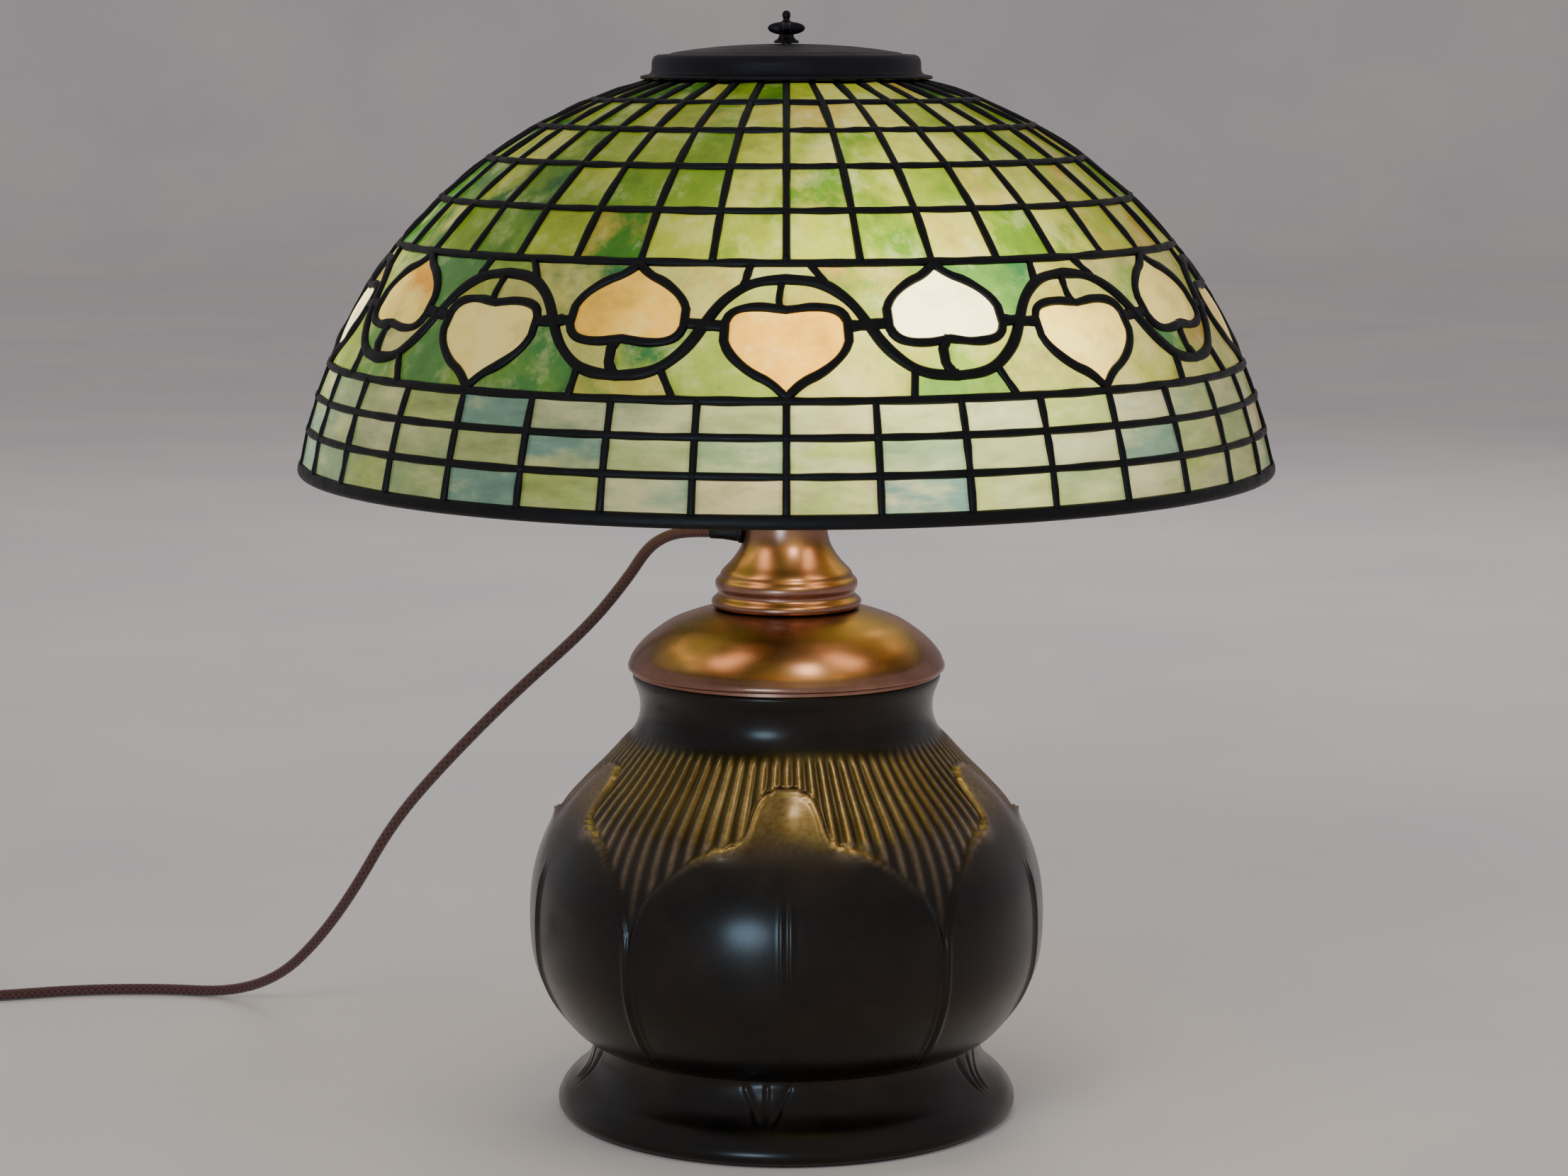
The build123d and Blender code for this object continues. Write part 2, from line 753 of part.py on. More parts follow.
# Bulbs: a thin ball of glass on a short neck, above each screw base
bulb_skin = 0.9
bulb_low = bulb_start + 0.05
neck_angle = math.radians(52.0)
with BuildPart() as bulb_glass:
    for turn in holder_turns:
        across = holder_plane(turn)
        with BuildSketch(Plane(across.origin, x_dir=across.x_dir, z_dir=across.x_dir.cross(across.z_dir))):
            for ball, mode in ((bulb_radius, Mode.ADD), (bulb_radius - bulb_skin, Mode.SUBTRACT)):
                with BuildLine():
                    neck_top = (ball * math.cos(neck_angle), bulb_centre - ball * math.sin(neck_angle))
                    neck_foot = (neck_top[0] - 2.2, bulb_low)
                    ThreePointArc(neck_top, (ball, bulb_centre), (0, bulb_centre + ball))
                    Polyline((0, bulb_centre + ball), (0, bulb_low), neck_foot, neck_top)
                make_face(mode=mode)
        revolve(axis=Axis(across.origin, across.z_dir))
finish(bulb_glass.part, "bulb_glass")

# Mains cord: straight runs joined by arcs, as large as the runs allow
radii = []
for before, here, after in zip(cord_route, cord_route[1:], cord_route[2:]):
    shorter = min((here - before).length, (after - here).length)
    turn = math.radians((here - before).get_angle(after - here))
    radii.append(0.45 * shorter / math.tan(turn / 2))
print("cord radii", [round(radius, 1) for radius in radii])

with BuildPart() as mains_cord:
    with BuildLine() as cord_path:
        FilletPolyline(*cord_route, radius=radii)
    with BuildSketch(Plane(origin=cord_path.wire() @ 0, z_dir=cord_path.wire() % 0)):
        Circle(cord)
    sweep(path=cord_path.wire())
print("cord volume", mains_cord.part.volume, "section times length", math.pi * cord**2 * cord_path.wire().length)
finish(mains_cord.part, "mains_cord")

with BuildPart() as cord_coil:
    with BuildSketch(Plane.XY.offset(coil_low)):
        with Locations((coil_x, coil_y)):
            Circle(coil_outer)
            Circle(coil_inner, mode=Mode.SUBTRACT)
    extrude(amount=coil_high - coil_low)
    fillet(cord_coil.edges().group_by(Axis.Z)[-1], radius=2.4)
finish(cord_coil.part, "cord_coil")

tie_middle = (coil_inner + coil_outer) / 2
tie_width = coil_outer - coil_inner + 1.2
with BuildPart() as cord_tie:
    with BuildSketch(Plane.YZ.offset(coil_x - 4.0)):
        with Locations((coil_y + tie_middle, (coil_high + 0.2) / 2 + tie_skin / 2)):
            Rectangle(tie_width + 2 * tie_skin, coil_high + 0.2 + tie_skin)
            Rectangle(tie_width, coil_high + 0.2 - tie_skin, mode=Mode.SUBTRACT)
    extrude(amount=8.0)
finish(cord_tie.part, "cord_tie")

tail_start = Vector(tail_x, coil_y + 13.0, coil_high - cord)
tail_end = Vector(tail_x, plug_low_y, plug_height)
with BuildPart() as cord_tail:
    with BuildSketch(Plane(origin=tail_start, z_dir=tail_end - tail_start)):
        Circle(cord)
    extrude(amount=(tail_end - tail_start).length)
finish(cord_tail.part, "cord_tail")

# Plug: a tapered boot, a rounded body and two flat blades
plug_face = Plane.XZ.offset(-plug_low_y - 8.0)
with BuildPart() as plug_body:
    with BuildSketch(Plane(origin=(tail_x, plug_low_y, plug_height), x_dir=(1, 0, 0), z_dir=(0, 1, 0))):
        Circle(3.4)
    with BuildSketch(Plane(origin=(tail_x, plug_low_y + 9.0, plug_height), x_dir=(1, 0, 0), z_dir=(0, 1, 0))):
        Circle(6.5)
    loft()
    with BuildSketch(Plane(origin=(tail_x, plug_low_y + 8.0, plug_height), x_dir=(1, 0, 0), z_dir=(0, 1, 0))):
        RectangleRounded(25.0, 18.0, 6.0)
    extrude(amount=26.0)
    fillet(plug_body.faces().sort_by(Axis.Y)[-1].edges(), radius=1.5)
finish(plug_body.part, "plug_body")

with BuildPart() as plug_blades:
    with BuildSketch(Plane(origin=(tail_x, plug_low_y + 34.0, plug_height), x_dir=(1, 0, 0), z_dir=(0, 1, 0))):
        with GridLocations(12.7, 1.0, 2, 1):
            Rectangle(1.5, 6.3)
    extrude(amount=16.0)
finish(plug_blades.part, "plug_blades")
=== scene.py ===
import math

import bmesh
import bpy
import numpy as np
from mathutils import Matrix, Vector


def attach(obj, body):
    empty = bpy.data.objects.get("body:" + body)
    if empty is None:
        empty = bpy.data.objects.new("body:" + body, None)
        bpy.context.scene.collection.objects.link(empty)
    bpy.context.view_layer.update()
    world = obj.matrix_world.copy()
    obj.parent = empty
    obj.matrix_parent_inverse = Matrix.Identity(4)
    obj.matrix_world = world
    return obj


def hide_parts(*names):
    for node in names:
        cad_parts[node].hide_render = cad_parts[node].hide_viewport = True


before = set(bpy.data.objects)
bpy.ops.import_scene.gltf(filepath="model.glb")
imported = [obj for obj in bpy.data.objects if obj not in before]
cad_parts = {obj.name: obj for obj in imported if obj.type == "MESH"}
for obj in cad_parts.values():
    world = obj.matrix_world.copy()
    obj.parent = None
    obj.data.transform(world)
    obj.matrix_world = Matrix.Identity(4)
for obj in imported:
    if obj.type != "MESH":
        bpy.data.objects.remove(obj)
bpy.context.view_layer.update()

mm = 0.001


def srgb(red, green, blue):
    # a screen colour from 0 to 255 as the linear colour that shaders take
    return tuple((value / 255) ** 2.2 for value in (red, green, blue)) + (1.0,)


def gridFaces(rows, columns, closeRows=False, closeColumns=False):
    # the four corners of every face of a rows by columns grid, numbered row by row; closed ways wrap round
    down = np.arange(rows if closeRows else rows - 1)
    along = np.arange(columns if closeColumns else columns - 1)
    i, j = np.meshgrid(down, along, indexing="ij")
    nextI, nextJ = (i + 1) % rows, (j + 1) % columns
    return np.stack(
        [i * columns + j, i * columns + nextJ, nextI * columns + nextJ, nextI * columns + j], -1
    ).reshape(-1, 4)


def repeatedFaces(faces, count, step):
    # the same faces for count separate grids whose points follow each other, step points apart
    return (faces[None] + step * np.arange(count)[:, None, None]).reshape(-1, 4)


def placed(name, data):
    # a new object in the scene
    made = bpy.data.objects.new(name, data)
    bpy.context.scene.collection.objects.link(made)
    return made


def makeMesh(name, points, faces, material, body, replaced=(), attributes=None):
    # one piece from whole arrays: points in millimetres, four corner numbers a face
    mesh = bpy.data.meshes.new(name)
    points = np.asarray(points, float).reshape(-1, 3) * mm
    faces = np.asarray(faces, np.int32)
    mesh.vertices.add(len(points))
    mesh.vertices.foreach_set("co", points.astype(np.float32).ravel())
    mesh.loops.add(faces.size)
    mesh.loops.foreach_set("vertex_index", faces.ravel())
    mesh.polygons.add(len(faces))
    mesh.polygons.foreach_set("loop_start", np.arange(0, faces.size, 4, dtype=np.int32))
    mesh.update(calc_edges=True)
    for key, values in (attributes or {}).items():
        values = np.asarray(values, np.float32)
        kind, field = ("FLOAT_COLOR", "color") if values.shape[-1] == 4 else ("FLOAT", "value")
        mesh.attributes.new(key, kind, "POINT").data.foreach_set(field, values.ravel())
    work = bmesh.new()
    work.from_mesh(mesh)
    bmesh.ops.remove_doubles(work, verts=work.verts, dist=1e-6)
    bmesh.ops.dissolve_degenerate(work, edges=work.edges, dist=1e-7)
    bmesh.ops.recalc_face_normals(work, faces=work.faces)
    work.to_mesh(mesh)
    work.free()
    mesh.polygons.foreach_set("use_smooth", np.ones(len(mesh.polygons), bool))
    mesh.materials.append(material)
    piece = placed(name, mesh)
    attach(piece, body)
    if replaced:
        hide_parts(*replaced)
    return piece


def smoothLine(points, count):
    # Catmull-Rom curve through the points, count places evenly spaced along its length
    points = np.asarray(points, float)
    padded = np.vstack([2 * points[0] - points[1], points, 2 * points[-1] - points[-2]])
    t = np.linspace(0, 1, 24, endpoint=False)[:, None]
    spans = []
    for a, b, c, d in zip(padded, padded[1:], padded[2:], padded[3:]):
        bend, twist = 2 * a - 5 * b + 4 * c - d, 3 * b - a - 3 * c + d
        spans.append(0.5 * (2 * b + (c - a) * t + bend * t**2 + twist * t**3))
    fine = np.vstack(spans + [points[-1:]])
    along = np.r_[0, np.cumsum(np.linalg.norm(np.diff(fine, axis=0), axis=1))]
    even = np.linspace(0, along[-1], count)
    return np.stack([np.interp(even, along, fine[:, k]) for k in range(fine.shape[1])], 1)


def lathe(name, profile, material, body, around=128, replaced=(), origin=None, axis=None):
    # a closed profile of (radius, height) turned about Z, or about axis through origin
    profile = np.asarray(profile, float)
    turn = np.linspace(0, 2 * np.pi, around, endpoint=False)
    radius, height = profile[:, 0][:, None], profile[:, 1][:, None]
    points = np.stack([radius * np.cos(turn), radius * np.sin(turn), height + 0 * turn], -1)
    if axis is not None:
        frameTurn = Vector((0, 0, 1)).rotation_difference(Vector(axis)).to_matrix()
        points = points @ np.array(frameTurn).T + np.array(origin)
    faces = gridFaces(len(profile), around, closeRows=True, closeColumns=True)
    return makeMesh(name, points, faces, material, body, replaced)


def nodesOf(name):
    # a new material and its node tree, with the shader ready to set
    material = bpy.data.materials.new(name)
    material.use_nodes = True
    tree = material.node_tree
    return material, tree, tree.nodes["Principled BSDF"]


def node(tree, kind, **values):
    # a shader node; values name its settings, or its input sockets with spaces as underscores
    made = tree.nodes.new(kind)
    for key, value in values.items():
        label = key.replace("_", " ")
        if label in made.inputs:
            made.inputs[label].default_value = value
        else:
            setattr(made, key, value)
    return made


def noiseAt(tree, scale, detail=4.0, stretch=(1, 1, 1), roughness=0.55):
    # noise on object coordinates, stretched along the axes
    place = node(tree, "ShaderNodeTexCoord")
    mapping = node(tree, "ShaderNodeMapping")
    mapping.inputs["Scale"].default_value = stretch
    noise = node(tree, "ShaderNodeTexNoise", Scale=scale, Detail=detail, Roughness=roughness)
    tree.links.new(place.outputs["Object"], mapping.inputs["Vector"])
    tree.links.new(mapping.outputs["Vector"], noise.inputs["Vector"])
    return noise.outputs["Fac"]


def ramp(tree, source, stops):
    # colours or greys at places from 0 to 1 along the source
    made = tree.nodes.new("ShaderNodeValToRGB")
    elements = made.color_ramp.elements
    while len(elements) < len(stops):
        elements.new(0.5)
    for element, (at, colour) in zip(elements, stops):
        element.position = at
        element.color = colour if isinstance(colour, tuple) else (colour, colour, colour, 1)
    tree.links.new(source, made.inputs["Fac"])
    return made.outputs["Color"]


def blendOf(tree, factor, first, second, kind="MIX"):
    # two colours mixed; each may be a socket or a colour
    mix = tree.nodes.new("ShaderNodeMix")
    mix.data_type = "RGBA"
    mix.blend_type = kind
    for socket, value in (("Factor", factor), ("A", first), ("B", second)):
        inputs = [item for item in mix.inputs if item.name == socket and item.enabled]
        if isinstance(value, bpy.types.NodeSocket):
            tree.links.new(value, inputs[0])
        else:
            inputs[0].default_value = value
    return [item for item in mix.outputs if item.enabled][0]


def bumpFrom(tree, shader, source, strength, distance):
    # the source as relief, distance in metres
    bump = node(tree, "ShaderNodeBump", Strength=strength, Distance=distance)
    tree.links.new(source, bump.inputs["Height"])
    tree.links.new(bump.outputs["Normal"], shader.inputs["Normal"])


def attributeOf(tree, name, output="Color"):
    made = node(tree, "ShaderNodeAttribute", attribute_name=name)
    return made.outputs[output]


def metalFinish(name, dark, bright, rough=(0.25, 0.4), scale=60, bump=0.15, metallic=1.0):
    # patinated metal: two colours mottled by noise, with uneven roughness and a faint skin
    material, tree, shader = nodesOf(name)
    coarse = noiseAt(tree, scale, 6)
    fine = noiseAt(tree, scale * 9, 3)
    tree.links.new(ramp(tree, coarse, ((0.35, dark), (0.65, bright))), shader.inputs["Base Color"])
    tree.links.new(ramp(tree, coarse, ((0.3, rough[0]), (0.7, rough[1]))), shader.inputs["Roughness"])
    shader.inputs["Metallic"].default_value = metallic
    bumpFrom(tree, shader, fine, bump, 0.0002)
    return material


def opalGlass(name, glow, streak=(30, 30, 8)):
    # opalescent glass: two colours of each piece run together in streaks and blotches; it is darker at its
    # edges, painted shade beside the leads along with some grime
    material, tree, shader = nodesOf(name)
    streaks = noiseAt(tree, 1.6, 5, streak, 0.6)
    wisps = noiseAt(tree, 3.4, 6, streak, 0.65)
    share = ramp(tree, streaks, ((0.42, 0.0), (0.58, 1.0)))
    mixed = blendOf(tree, share, attributeOf(tree, "tint"), attributeOf(tree, "streak"))
    milky = blendOf(tree, ramp(tree, wisps, ((0.52, 0.0), (0.75, 0.5))), mixed, srgb(246, 236, 164))
    cloud = blendOf(tree, 1.0, milky, ramp(tree, wisps, ((0.25, 0.62), (0.5, 1.0))), "MULTIPLY")
    # painted shade beside the leads, with some grime: a piece's colour falls to two thirds at its edge
    edge = ramp(tree, attributeOf(tree, "inner", "Fac"), ((0.0, 0.66), (1.0, 1.0)))
    colour = blendOf(tree, 1.0, cloud, edge, "MULTIPLY")
    # painted glow: the glass emits its own colour times the painted light, standing for the lamp's light
    # shining through it
    lit = blendOf(tree, 1.0, colour, attributeOf(tree, "light"), "MULTIPLY")
    tree.links.new(blendOf(tree, 1.0, colour, srgb(150, 150, 150), "MULTIPLY"), shader.inputs["Base Color"])
    tree.links.new(lit, shader.inputs["Emission Color"])
    shader.inputs["Emission Strength"].default_value = glow
    shader.inputs["Roughness"].default_value = 0.14
    shader.inputs["Specular IOR Level"].default_value = 0.3
    bumpFrom(tree, shader, noiseAt(tree, 60, 3), 0.4, 0.0008)
    return material


def plainFinish(name, colour, other, rough, metallic=0.0, scale=90, bump=0.1):
    return metalFinish(name, colour, other, (rough, rough + 0.12), scale, bump, metallic)


def clothCordFinish():
    # braided cotton: two crossing sets of diagonal strands on the cord's own UV
    material, tree, shader = nodesOf("braidedCloth")
    place = node(tree, "ShaderNodeUVMap")
    waves = []
    for slant in (1, -1):
        mapping = node(tree, "ShaderNodeMapping")
        mapping.inputs["Scale"].default_value = (900.0, 3.0 * slant, 1)
        wave = node(tree, "ShaderNodeTexWave", bands_direction="DIAGONAL", Scale=1.0)
        tree.links.new(place.outputs["UV"], mapping.inputs["Vector"])
        tree.links.new(mapping.outputs["Vector"], wave.inputs["Vector"])
        waves.append(wave.outputs["Fac"])
    braid = blendOf(tree, 1.0, waves[0], waves[1], "LIGHTEN")
    strands = ramp(tree, braid, ((0.3, srgb(34, 16, 16)), (0.9, srgb(84, 44, 40))))
    tree.links.new(strands, shader.inputs["Base Color"])
    shader.inputs["Roughness"].default_value = 0.72
    shader.inputs["Sheen Weight"].default_value = 0.25
    bumpFrom(tree, shader, braid, 0.5, 0.0003)
    return material


finishes = {
    "polished": metalFinish("polishedBronze", srgb(136, 96, 82), srgb(168, 124, 106), (0.24, 0.34), 24, 0.0),
    "dark": metalFinish("darkBronze", srgb(15, 12, 19), srgb(30, 24, 32), (0.4, 0.55), 50, 0.2, 0.5),
    "lead": metalFinish("leadPatina", srgb(9, 8, 9), srgb(22, 19, 19), (0.4, 0.58), 140, 0.35, 0.5),
    "brass": metalFinish("plainBrass", srgb(150, 116, 58), srgb(190, 152, 84), (0.25, 0.4), 60, 0.1),
    "steel": metalFinish("zincSteel", srgb(120, 120, 124), srgb(160, 160, 164), (0.3, 0.45), 70, 0.1),
    "iron": metalFinish("castIron", srgb(34, 33, 34), srgb(60, 58, 58), (0.55, 0.75), 120, 0.6, 0.6),
    "felt": plainFinish("brownFelt", srgb(46, 38, 34), srgb(70, 58, 50), 0.85, 0.0, 900, 0.8),
    "porcelain": plainFinish("glazedPorcelain", srgb(226, 222, 210), srgb(240, 236, 226), 0.15),
    "black": plainFinish("blackKnob", srgb(22, 20, 20), srgb(34, 31, 30), 0.3),
    "plug": plainFinish("brownPlug", srgb(40, 26, 20), srgb(58, 38, 28), 0.28),
    "cloth": clothCordFinish(),
}


stageLook = {
    "camera": (0.0, -1.559, 0.456),
    "pitch": 8.4,
    "lens": 84.9,
    "shift": -0.00154,
    "floorSize": 14.0,
    "curlRadius": 1.0,
    "curlMargin": 0.2,
    "roomGrey": (0.80, 0.80, 0.84, 1.0),
    "roomStrength": 0.55,
}


def makeRoom(look):
    # pale floor that curls up into a backdrop, soft room light, and the camera
    material, tree, shader = nodesOf("paleFloor")
    tree.links.new(
        ramp(tree, noiseAt(tree, 3, 5), ((0.3, srgb(214, 206, 206)), (0.7, srgb(226, 218, 212)))),
        shader.inputs["Base Color"],
    )
    shader.inputs["Roughness"].default_value = 0.6
    half, bend = look["floorSize"] / 2, look["curlRadius"]
    far = half - look["curlMargin"]
    back = np.array([[-half, 0], [far - bend, 0]])
    turns = np.linspace(0.1, math.pi / 2, 12)
    curl = np.stack([far - bend + bend * np.sin(turns), bend * (1 - np.cos(turns))], 1)
    rise = np.array([[far, bend + half]])
    line = np.vstack([back, curl, rise])
    x = np.array([-half, half])
    points = np.stack(np.broadcast_arrays(x[None, :], line[:, 0][:, None], line[:, 1][:, None] - 0.0001), -1)
    mesh = bpy.data.meshes.new("floor")
    mesh.from_pydata(points.reshape(-1, 3).tolist(), [], gridFaces(len(line), 2)[:, ::-1].tolist())
    mesh.polygons.foreach_set("use_smooth", np.ones(len(mesh.polygons), bool))
    mesh.materials.append(material)
    placed("floor", mesh)

    world = bpy.data.worlds.new("room")
    world.use_nodes = True
    world.node_tree.nodes["Background"].inputs["Color"].default_value = look["roomGrey"]
    world.node_tree.nodes["Background"].inputs["Strength"].default_value = look["roomStrength"]
    bpy.context.scene.world = world

    camera = placed("camera", bpy.data.cameras.new("camera"))
    camera.location = look["camera"]
    camera.rotation_euler = (math.radians(90 - look["pitch"]), 0, 0)
    camera.data.lens = look["lens"]
    camera.data.sensor_width = 36
    camera.data.shift_x = look["shift"]
    bpy.context.scene.camera = camera


def areaLight(name, place, target, size, power, colour, mirrored=False):
    # a soft round light aimed at target; mirrored says whether polished surfaces show it
    data = bpy.data.lights.new(name, "AREA")
    data.shape = "DISK"
    data.size = size
    data.energy = power
    data.color = colour
    light = placed(name, data)
    light.location = place
    light.rotation_euler = (Vector(target) - Vector(place)).to_track_quat("-Z", "Y").to_euler()
    light.visible_camera = False
    light.visible_glossy = mirrored


def bulbLight(name, place, power, colour):
    # a small warm light under the shade, for the two bright spots on the polished bronze
    data = bpy.data.lights.new(name, "POINT")
    data.energy = power
    data.color = colour
    data.shadow_soft_size = 0.012
    light = placed(name, data)
    light.location = place
    light.visible_camera = False


makeRoom(stageLook)
areaLight("frontKey", (-0.62, -2.1, 0.22), (0, 0, 0.12), 0.62, 13, (0.45, 0.74, 1.0), True)
areaLight("highKey", (-0.9, -1.9, 1.7), (0, 0, 0.25), 0.9, 14, (1.0, 0.98, 0.96))
areaLight("sideFill", (1.9, -0.9, 1.0), (0, 0, 0.2), 1.2, 8, (0.95, 0.97, 1.0))
areaLight("backFill", (0.4, 2.0, 1.6), (0, 0, 0.3), 1.4, 14, (1.0, 1.0, 1.0))
for lightName, lightX, lightY in (("bulbSpotLeft", -0.095, -0.046), ("bulbSpotRight", 0.033, -0.101)):
    bulbLight(lightName, (lightX, lightY, 0.325), 0.15, (1.0, 0.88, 0.7))
print("room, lights and camera ready")


cordLook = {
    "diameter": 5.0,
    "length": 1.8,
    "coilMiddle": (-438.0, 196.0),
    "turnRadii": (31.4, 26.2, 21.0),
    "layerHeights": (3.3, 8.5, 13.7),
    "layerTurns": (3.0, 3.0, 1.25),
    "plugStart": 228.0,
    "plugHeight": 9.2,
    "route": (
        (-32.5, 3.4, 249.6),
        (-42.0, 4.45, 249.7),
        (-51.4, 7.4, 247.3),
        (-59.8, 12.0, 241.2),
        (-68.5, 19.5, 227.0),
        (-87.0, 34.5, 203.0),
        (-122.0, 65.0, 168.5),
        (-157.0, 94.0, 130.0),
        (-182.0, 116.0, 99.0),
        (-203.0, 134.0, 62.0),
        (-222.0, 149.0, 35.0),
        (-242.0, 163.0, 14.0),
        (-268.0, 177.0, 2.6),
        (-302.0, 184.0, 2.6),
        (-342.0, 182.0, 2.6),
        (-378.0, 171.0, 2.6),
        (-404.0, 165.0, 2.8),
        (-424.0, 164.6, 3.3),
    ),
}


def coilRoute(look):
    # turns wound clockwise from the near side: one layer spirals in, the next out, the last part in again
    middle = np.array(look["coilMiddle"])
    outer, inner = look["turnRadii"][0], look["turnRadii"][-1]
    points = []
    angle = -0.5 * np.pi
    perTurn = 14
    for layer, (height, turns) in enumerate(zip(look["layerHeights"], look["layerTurns"])):
        steps = int(round(turns * perTurn))
        share = (np.arange(steps) + 0.5) / (3.0 * perTurn)
        radius = outer + (inner - outer) * share if layer % 2 == 0 else inner + (outer - inner) * share
        turn = angle - 2 * np.pi * (np.arange(steps) + 0.5) / perTurn
        points.append(np.stack([middle[0] + radius * np.cos(turn), middle[1] + radius * np.sin(turn),
                                np.full(steps, height)], 1))
        angle -= 2 * np.pi * steps / perTurn
    return np.vstack(points)


def makeCord(look):
    coil = coilRoute(look)
    tailX = look["coilMiddle"][0] - look["turnRadii"][0]
    tail = np.array([
        (tailX + 1.5, look["coilMiddle"][1] + 4.0, look["layerHeights"][2]),
        (tailX, look["coilMiddle"][1] + 16.0, 12.4),
        (tailX, look["plugStart"] + 1.5, look["plugHeight"]),
    ])
    route = np.vstack([np.array(look["route"]), coil, tail]) * mm
    curve = bpy.data.curves.new("mainsCord", "CURVE")
    curve.dimensions = "3D"
    spline = curve.splines.new("NURBS")
    spline.points.add(len(route) - 1)
    spline.points.foreach_set("co", np.c_[route, np.ones(len(route))].ravel())
    spline.order_u = 3
    spline.use_endpoint_u = True
    curve.resolution_u = 6
    curve.bevel_depth = look["diameter"] / 2 * mm
    curve.bevel_resolution = 3
    curve.use_fill_caps = True
    curve.materials.append(finishes["cloth"])
    cord = placed("mainsCord", curve)
    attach(cord, "base")
    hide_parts("mains_cord", "cord_coil", "cord_tail")
    return cord


def superRing(halfWide, halfHigh, square, count):
    # closed section: cosine and sine raised to a power, so that it runs from round to square
    a = np.linspace(0, 2 * np.pi, count, endpoint=False)
    c, s = np.cos(a), np.sin(a)
    wide, high = halfWide * np.sign(c), halfHigh * np.sign(s)
    return np.stack([wide * np.abs(c) ** square, high * np.abs(s) ** square], 1)


def makePlug(look):
    # stations along Y, each a rounded section that grows from the boot into the body and closes on its face
    x, y, z = look["coilMiddle"][0] - look["turnRadii"][0], look["plugStart"], look["plugHeight"]
    stations = (
        (0.0, 0.2, 0.2, 1.0), (0.0, 2.8, 2.8, 1.0), (0.4, 3.3, 3.3, 1.0), (7.6, 5.2, 5.0, 0.95),
        (8.4, 9.5, 6.8, 0.7), (9.4, 11.8, 8.4, 0.62), (11.5, 12.4, 8.9, 0.6), (16.0, 12.0, 8.7, 0.6),
        (17.0, 11.4, 8.2, 0.6), (18.0, 12.0, 8.7, 0.6), (31.0, 12.4, 8.9, 0.6), (33.2, 11.6, 8.3, 0.6),
        (34.0, 10.2, 7.0, 0.62), (34.0, 0.2, 0.2, 1.0),
    )
    rings = []
    for along, wide, high, square in stations:
        ring = superRing(wide, high, square, 48)
        rings.append(np.c_[x + ring[:, 0], np.full(48, y + along), z + ring[:, 1]])
    faces = gridFaces(len(rings), 48, closeColumns=True)
    points = collapsedEnds(np.array(rings))
    return makeMesh("plugBody", points, faces, finishes["plug"], "base", ("plug_body",))


def collapsedEnds(rings):
    # the first and last rings drawn to their own middles, so that welding closes the ends
    rings = rings.copy()
    rings[0] = rings[0].mean(0)
    rings[-1] = rings[-1].mean(0)
    return rings


def makeGland():
    # tapered sleeve with a rolled collar, along the line from the neck to the cord
    start, end = np.array((-12.5, 1.2, 249.4)), np.array((-32.5, 3.4, 249.6))
    axis = (end - start) / np.linalg.norm(end - start)
    length = float(np.linalg.norm(end - start))
    outline = [(0, 0), (3.2, 0), (3.2, 5.8), (4.4, 6.0), (4.7, 6.8), (4.4, 7.8), (3.9, 8.2)]
    outline += [(3.9 - 0.14 * k, 8.6 + k) for k in range(7)]
    outline += [(2.95, length - 0.4), (2.7, length), (0, length)]
    return lathe("cordGland", outline, finishes["dark"], "base", 40, ("cord_gland",),
                 start, axis)


cordPiece = makeCord(cordLook)
plugPiece = makePlug(cordLook)
glandPiece = makeGland()
print("mains cord laid")


dome = {
    "radius": 7.4,
    "height": 246.5,
    "arc": 198.0,
    "columns": 36,
    "repeats": 9,
    "lower": (10.6, 14.6, 18.8, 22.85),
    "upper": (39.5, 46.9, 54.2, 61.3, 68.4, 75.5),
    "glassHalf": 1.5,
    "leadHigh": 2.9,
    "leadSquare": 0.6,
    "leadSides": 10,
    "rimRise": 9.8,
    "lineWide": 3.3,
    "outlineWide": 3.9,
    "vineWide": 4.6,
}


def domeNormal(turn, rise):
    # straight out of the dome: cosine of the rise times the turn's direction, and sine of the rise upwards
    t, r = np.radians(turn), np.radians(rise)
    return np.stack(np.broadcast_arrays(np.cos(r) * np.sin(t), -np.cos(r) * np.cos(t), np.sin(r)), -1)


def domePoint(turn, rise, out=0.0):
    # a place on the dome: an arc about a ring, turned about Z from the front towards +X
    t, r = np.radians(turn), np.radians(rise)
    radius = dome["radius"] + (dome["arc"] + out) * np.cos(r)
    height = dome["height"] + (dome["arc"] + out) * np.sin(r)
    return np.stack(np.broadcast_arrays(radius * np.sin(t), -radius * np.cos(t), height), -1)


glow = {
    "turns": (18.0, 138.0, 258.0),
    "wide": 18.5,
    "height": 360.0,
    "above": 35.0,
    "below": 60.0,
    "floor": 0.4,
    "spot": 3.1,
}


def glowAt(points):
    # painted light of the lit shade, put into the glass's glow: an even part, and three bell-shaped bright
    # patches spaced evenly round it
    turn = np.degrees(np.arctan2(points[..., 0], -points[..., 1]))
    height = points[..., 2] - glow["height"]
    height = height / np.where(height > 0, glow["above"], glow["below"])
    around = (turn[..., None] - np.array(glow["turns"]) + 180) % 360 - 180
    spots = np.exp(-((around / glow["wide"]) ** 2) / 2).sum(-1)
    return glow["floor"] + glow["spot"] * spots * np.exp(-(height**2) / 2)


def pickColours(rng, palette, places, spread):
    # a colour for each piece: its place in the palette, from 0 to 1, is pushed about at random
    table = np.array([srgb(*shade) for shade in palette])
    at = np.clip(places + rng.normal(0, spread, len(places)), 0, 0.999) * (len(table) - 1)
    low = at.astype(int)
    part = (at - low)[:, None]
    return table[low] * (1 - part) + table[low + 1] * part


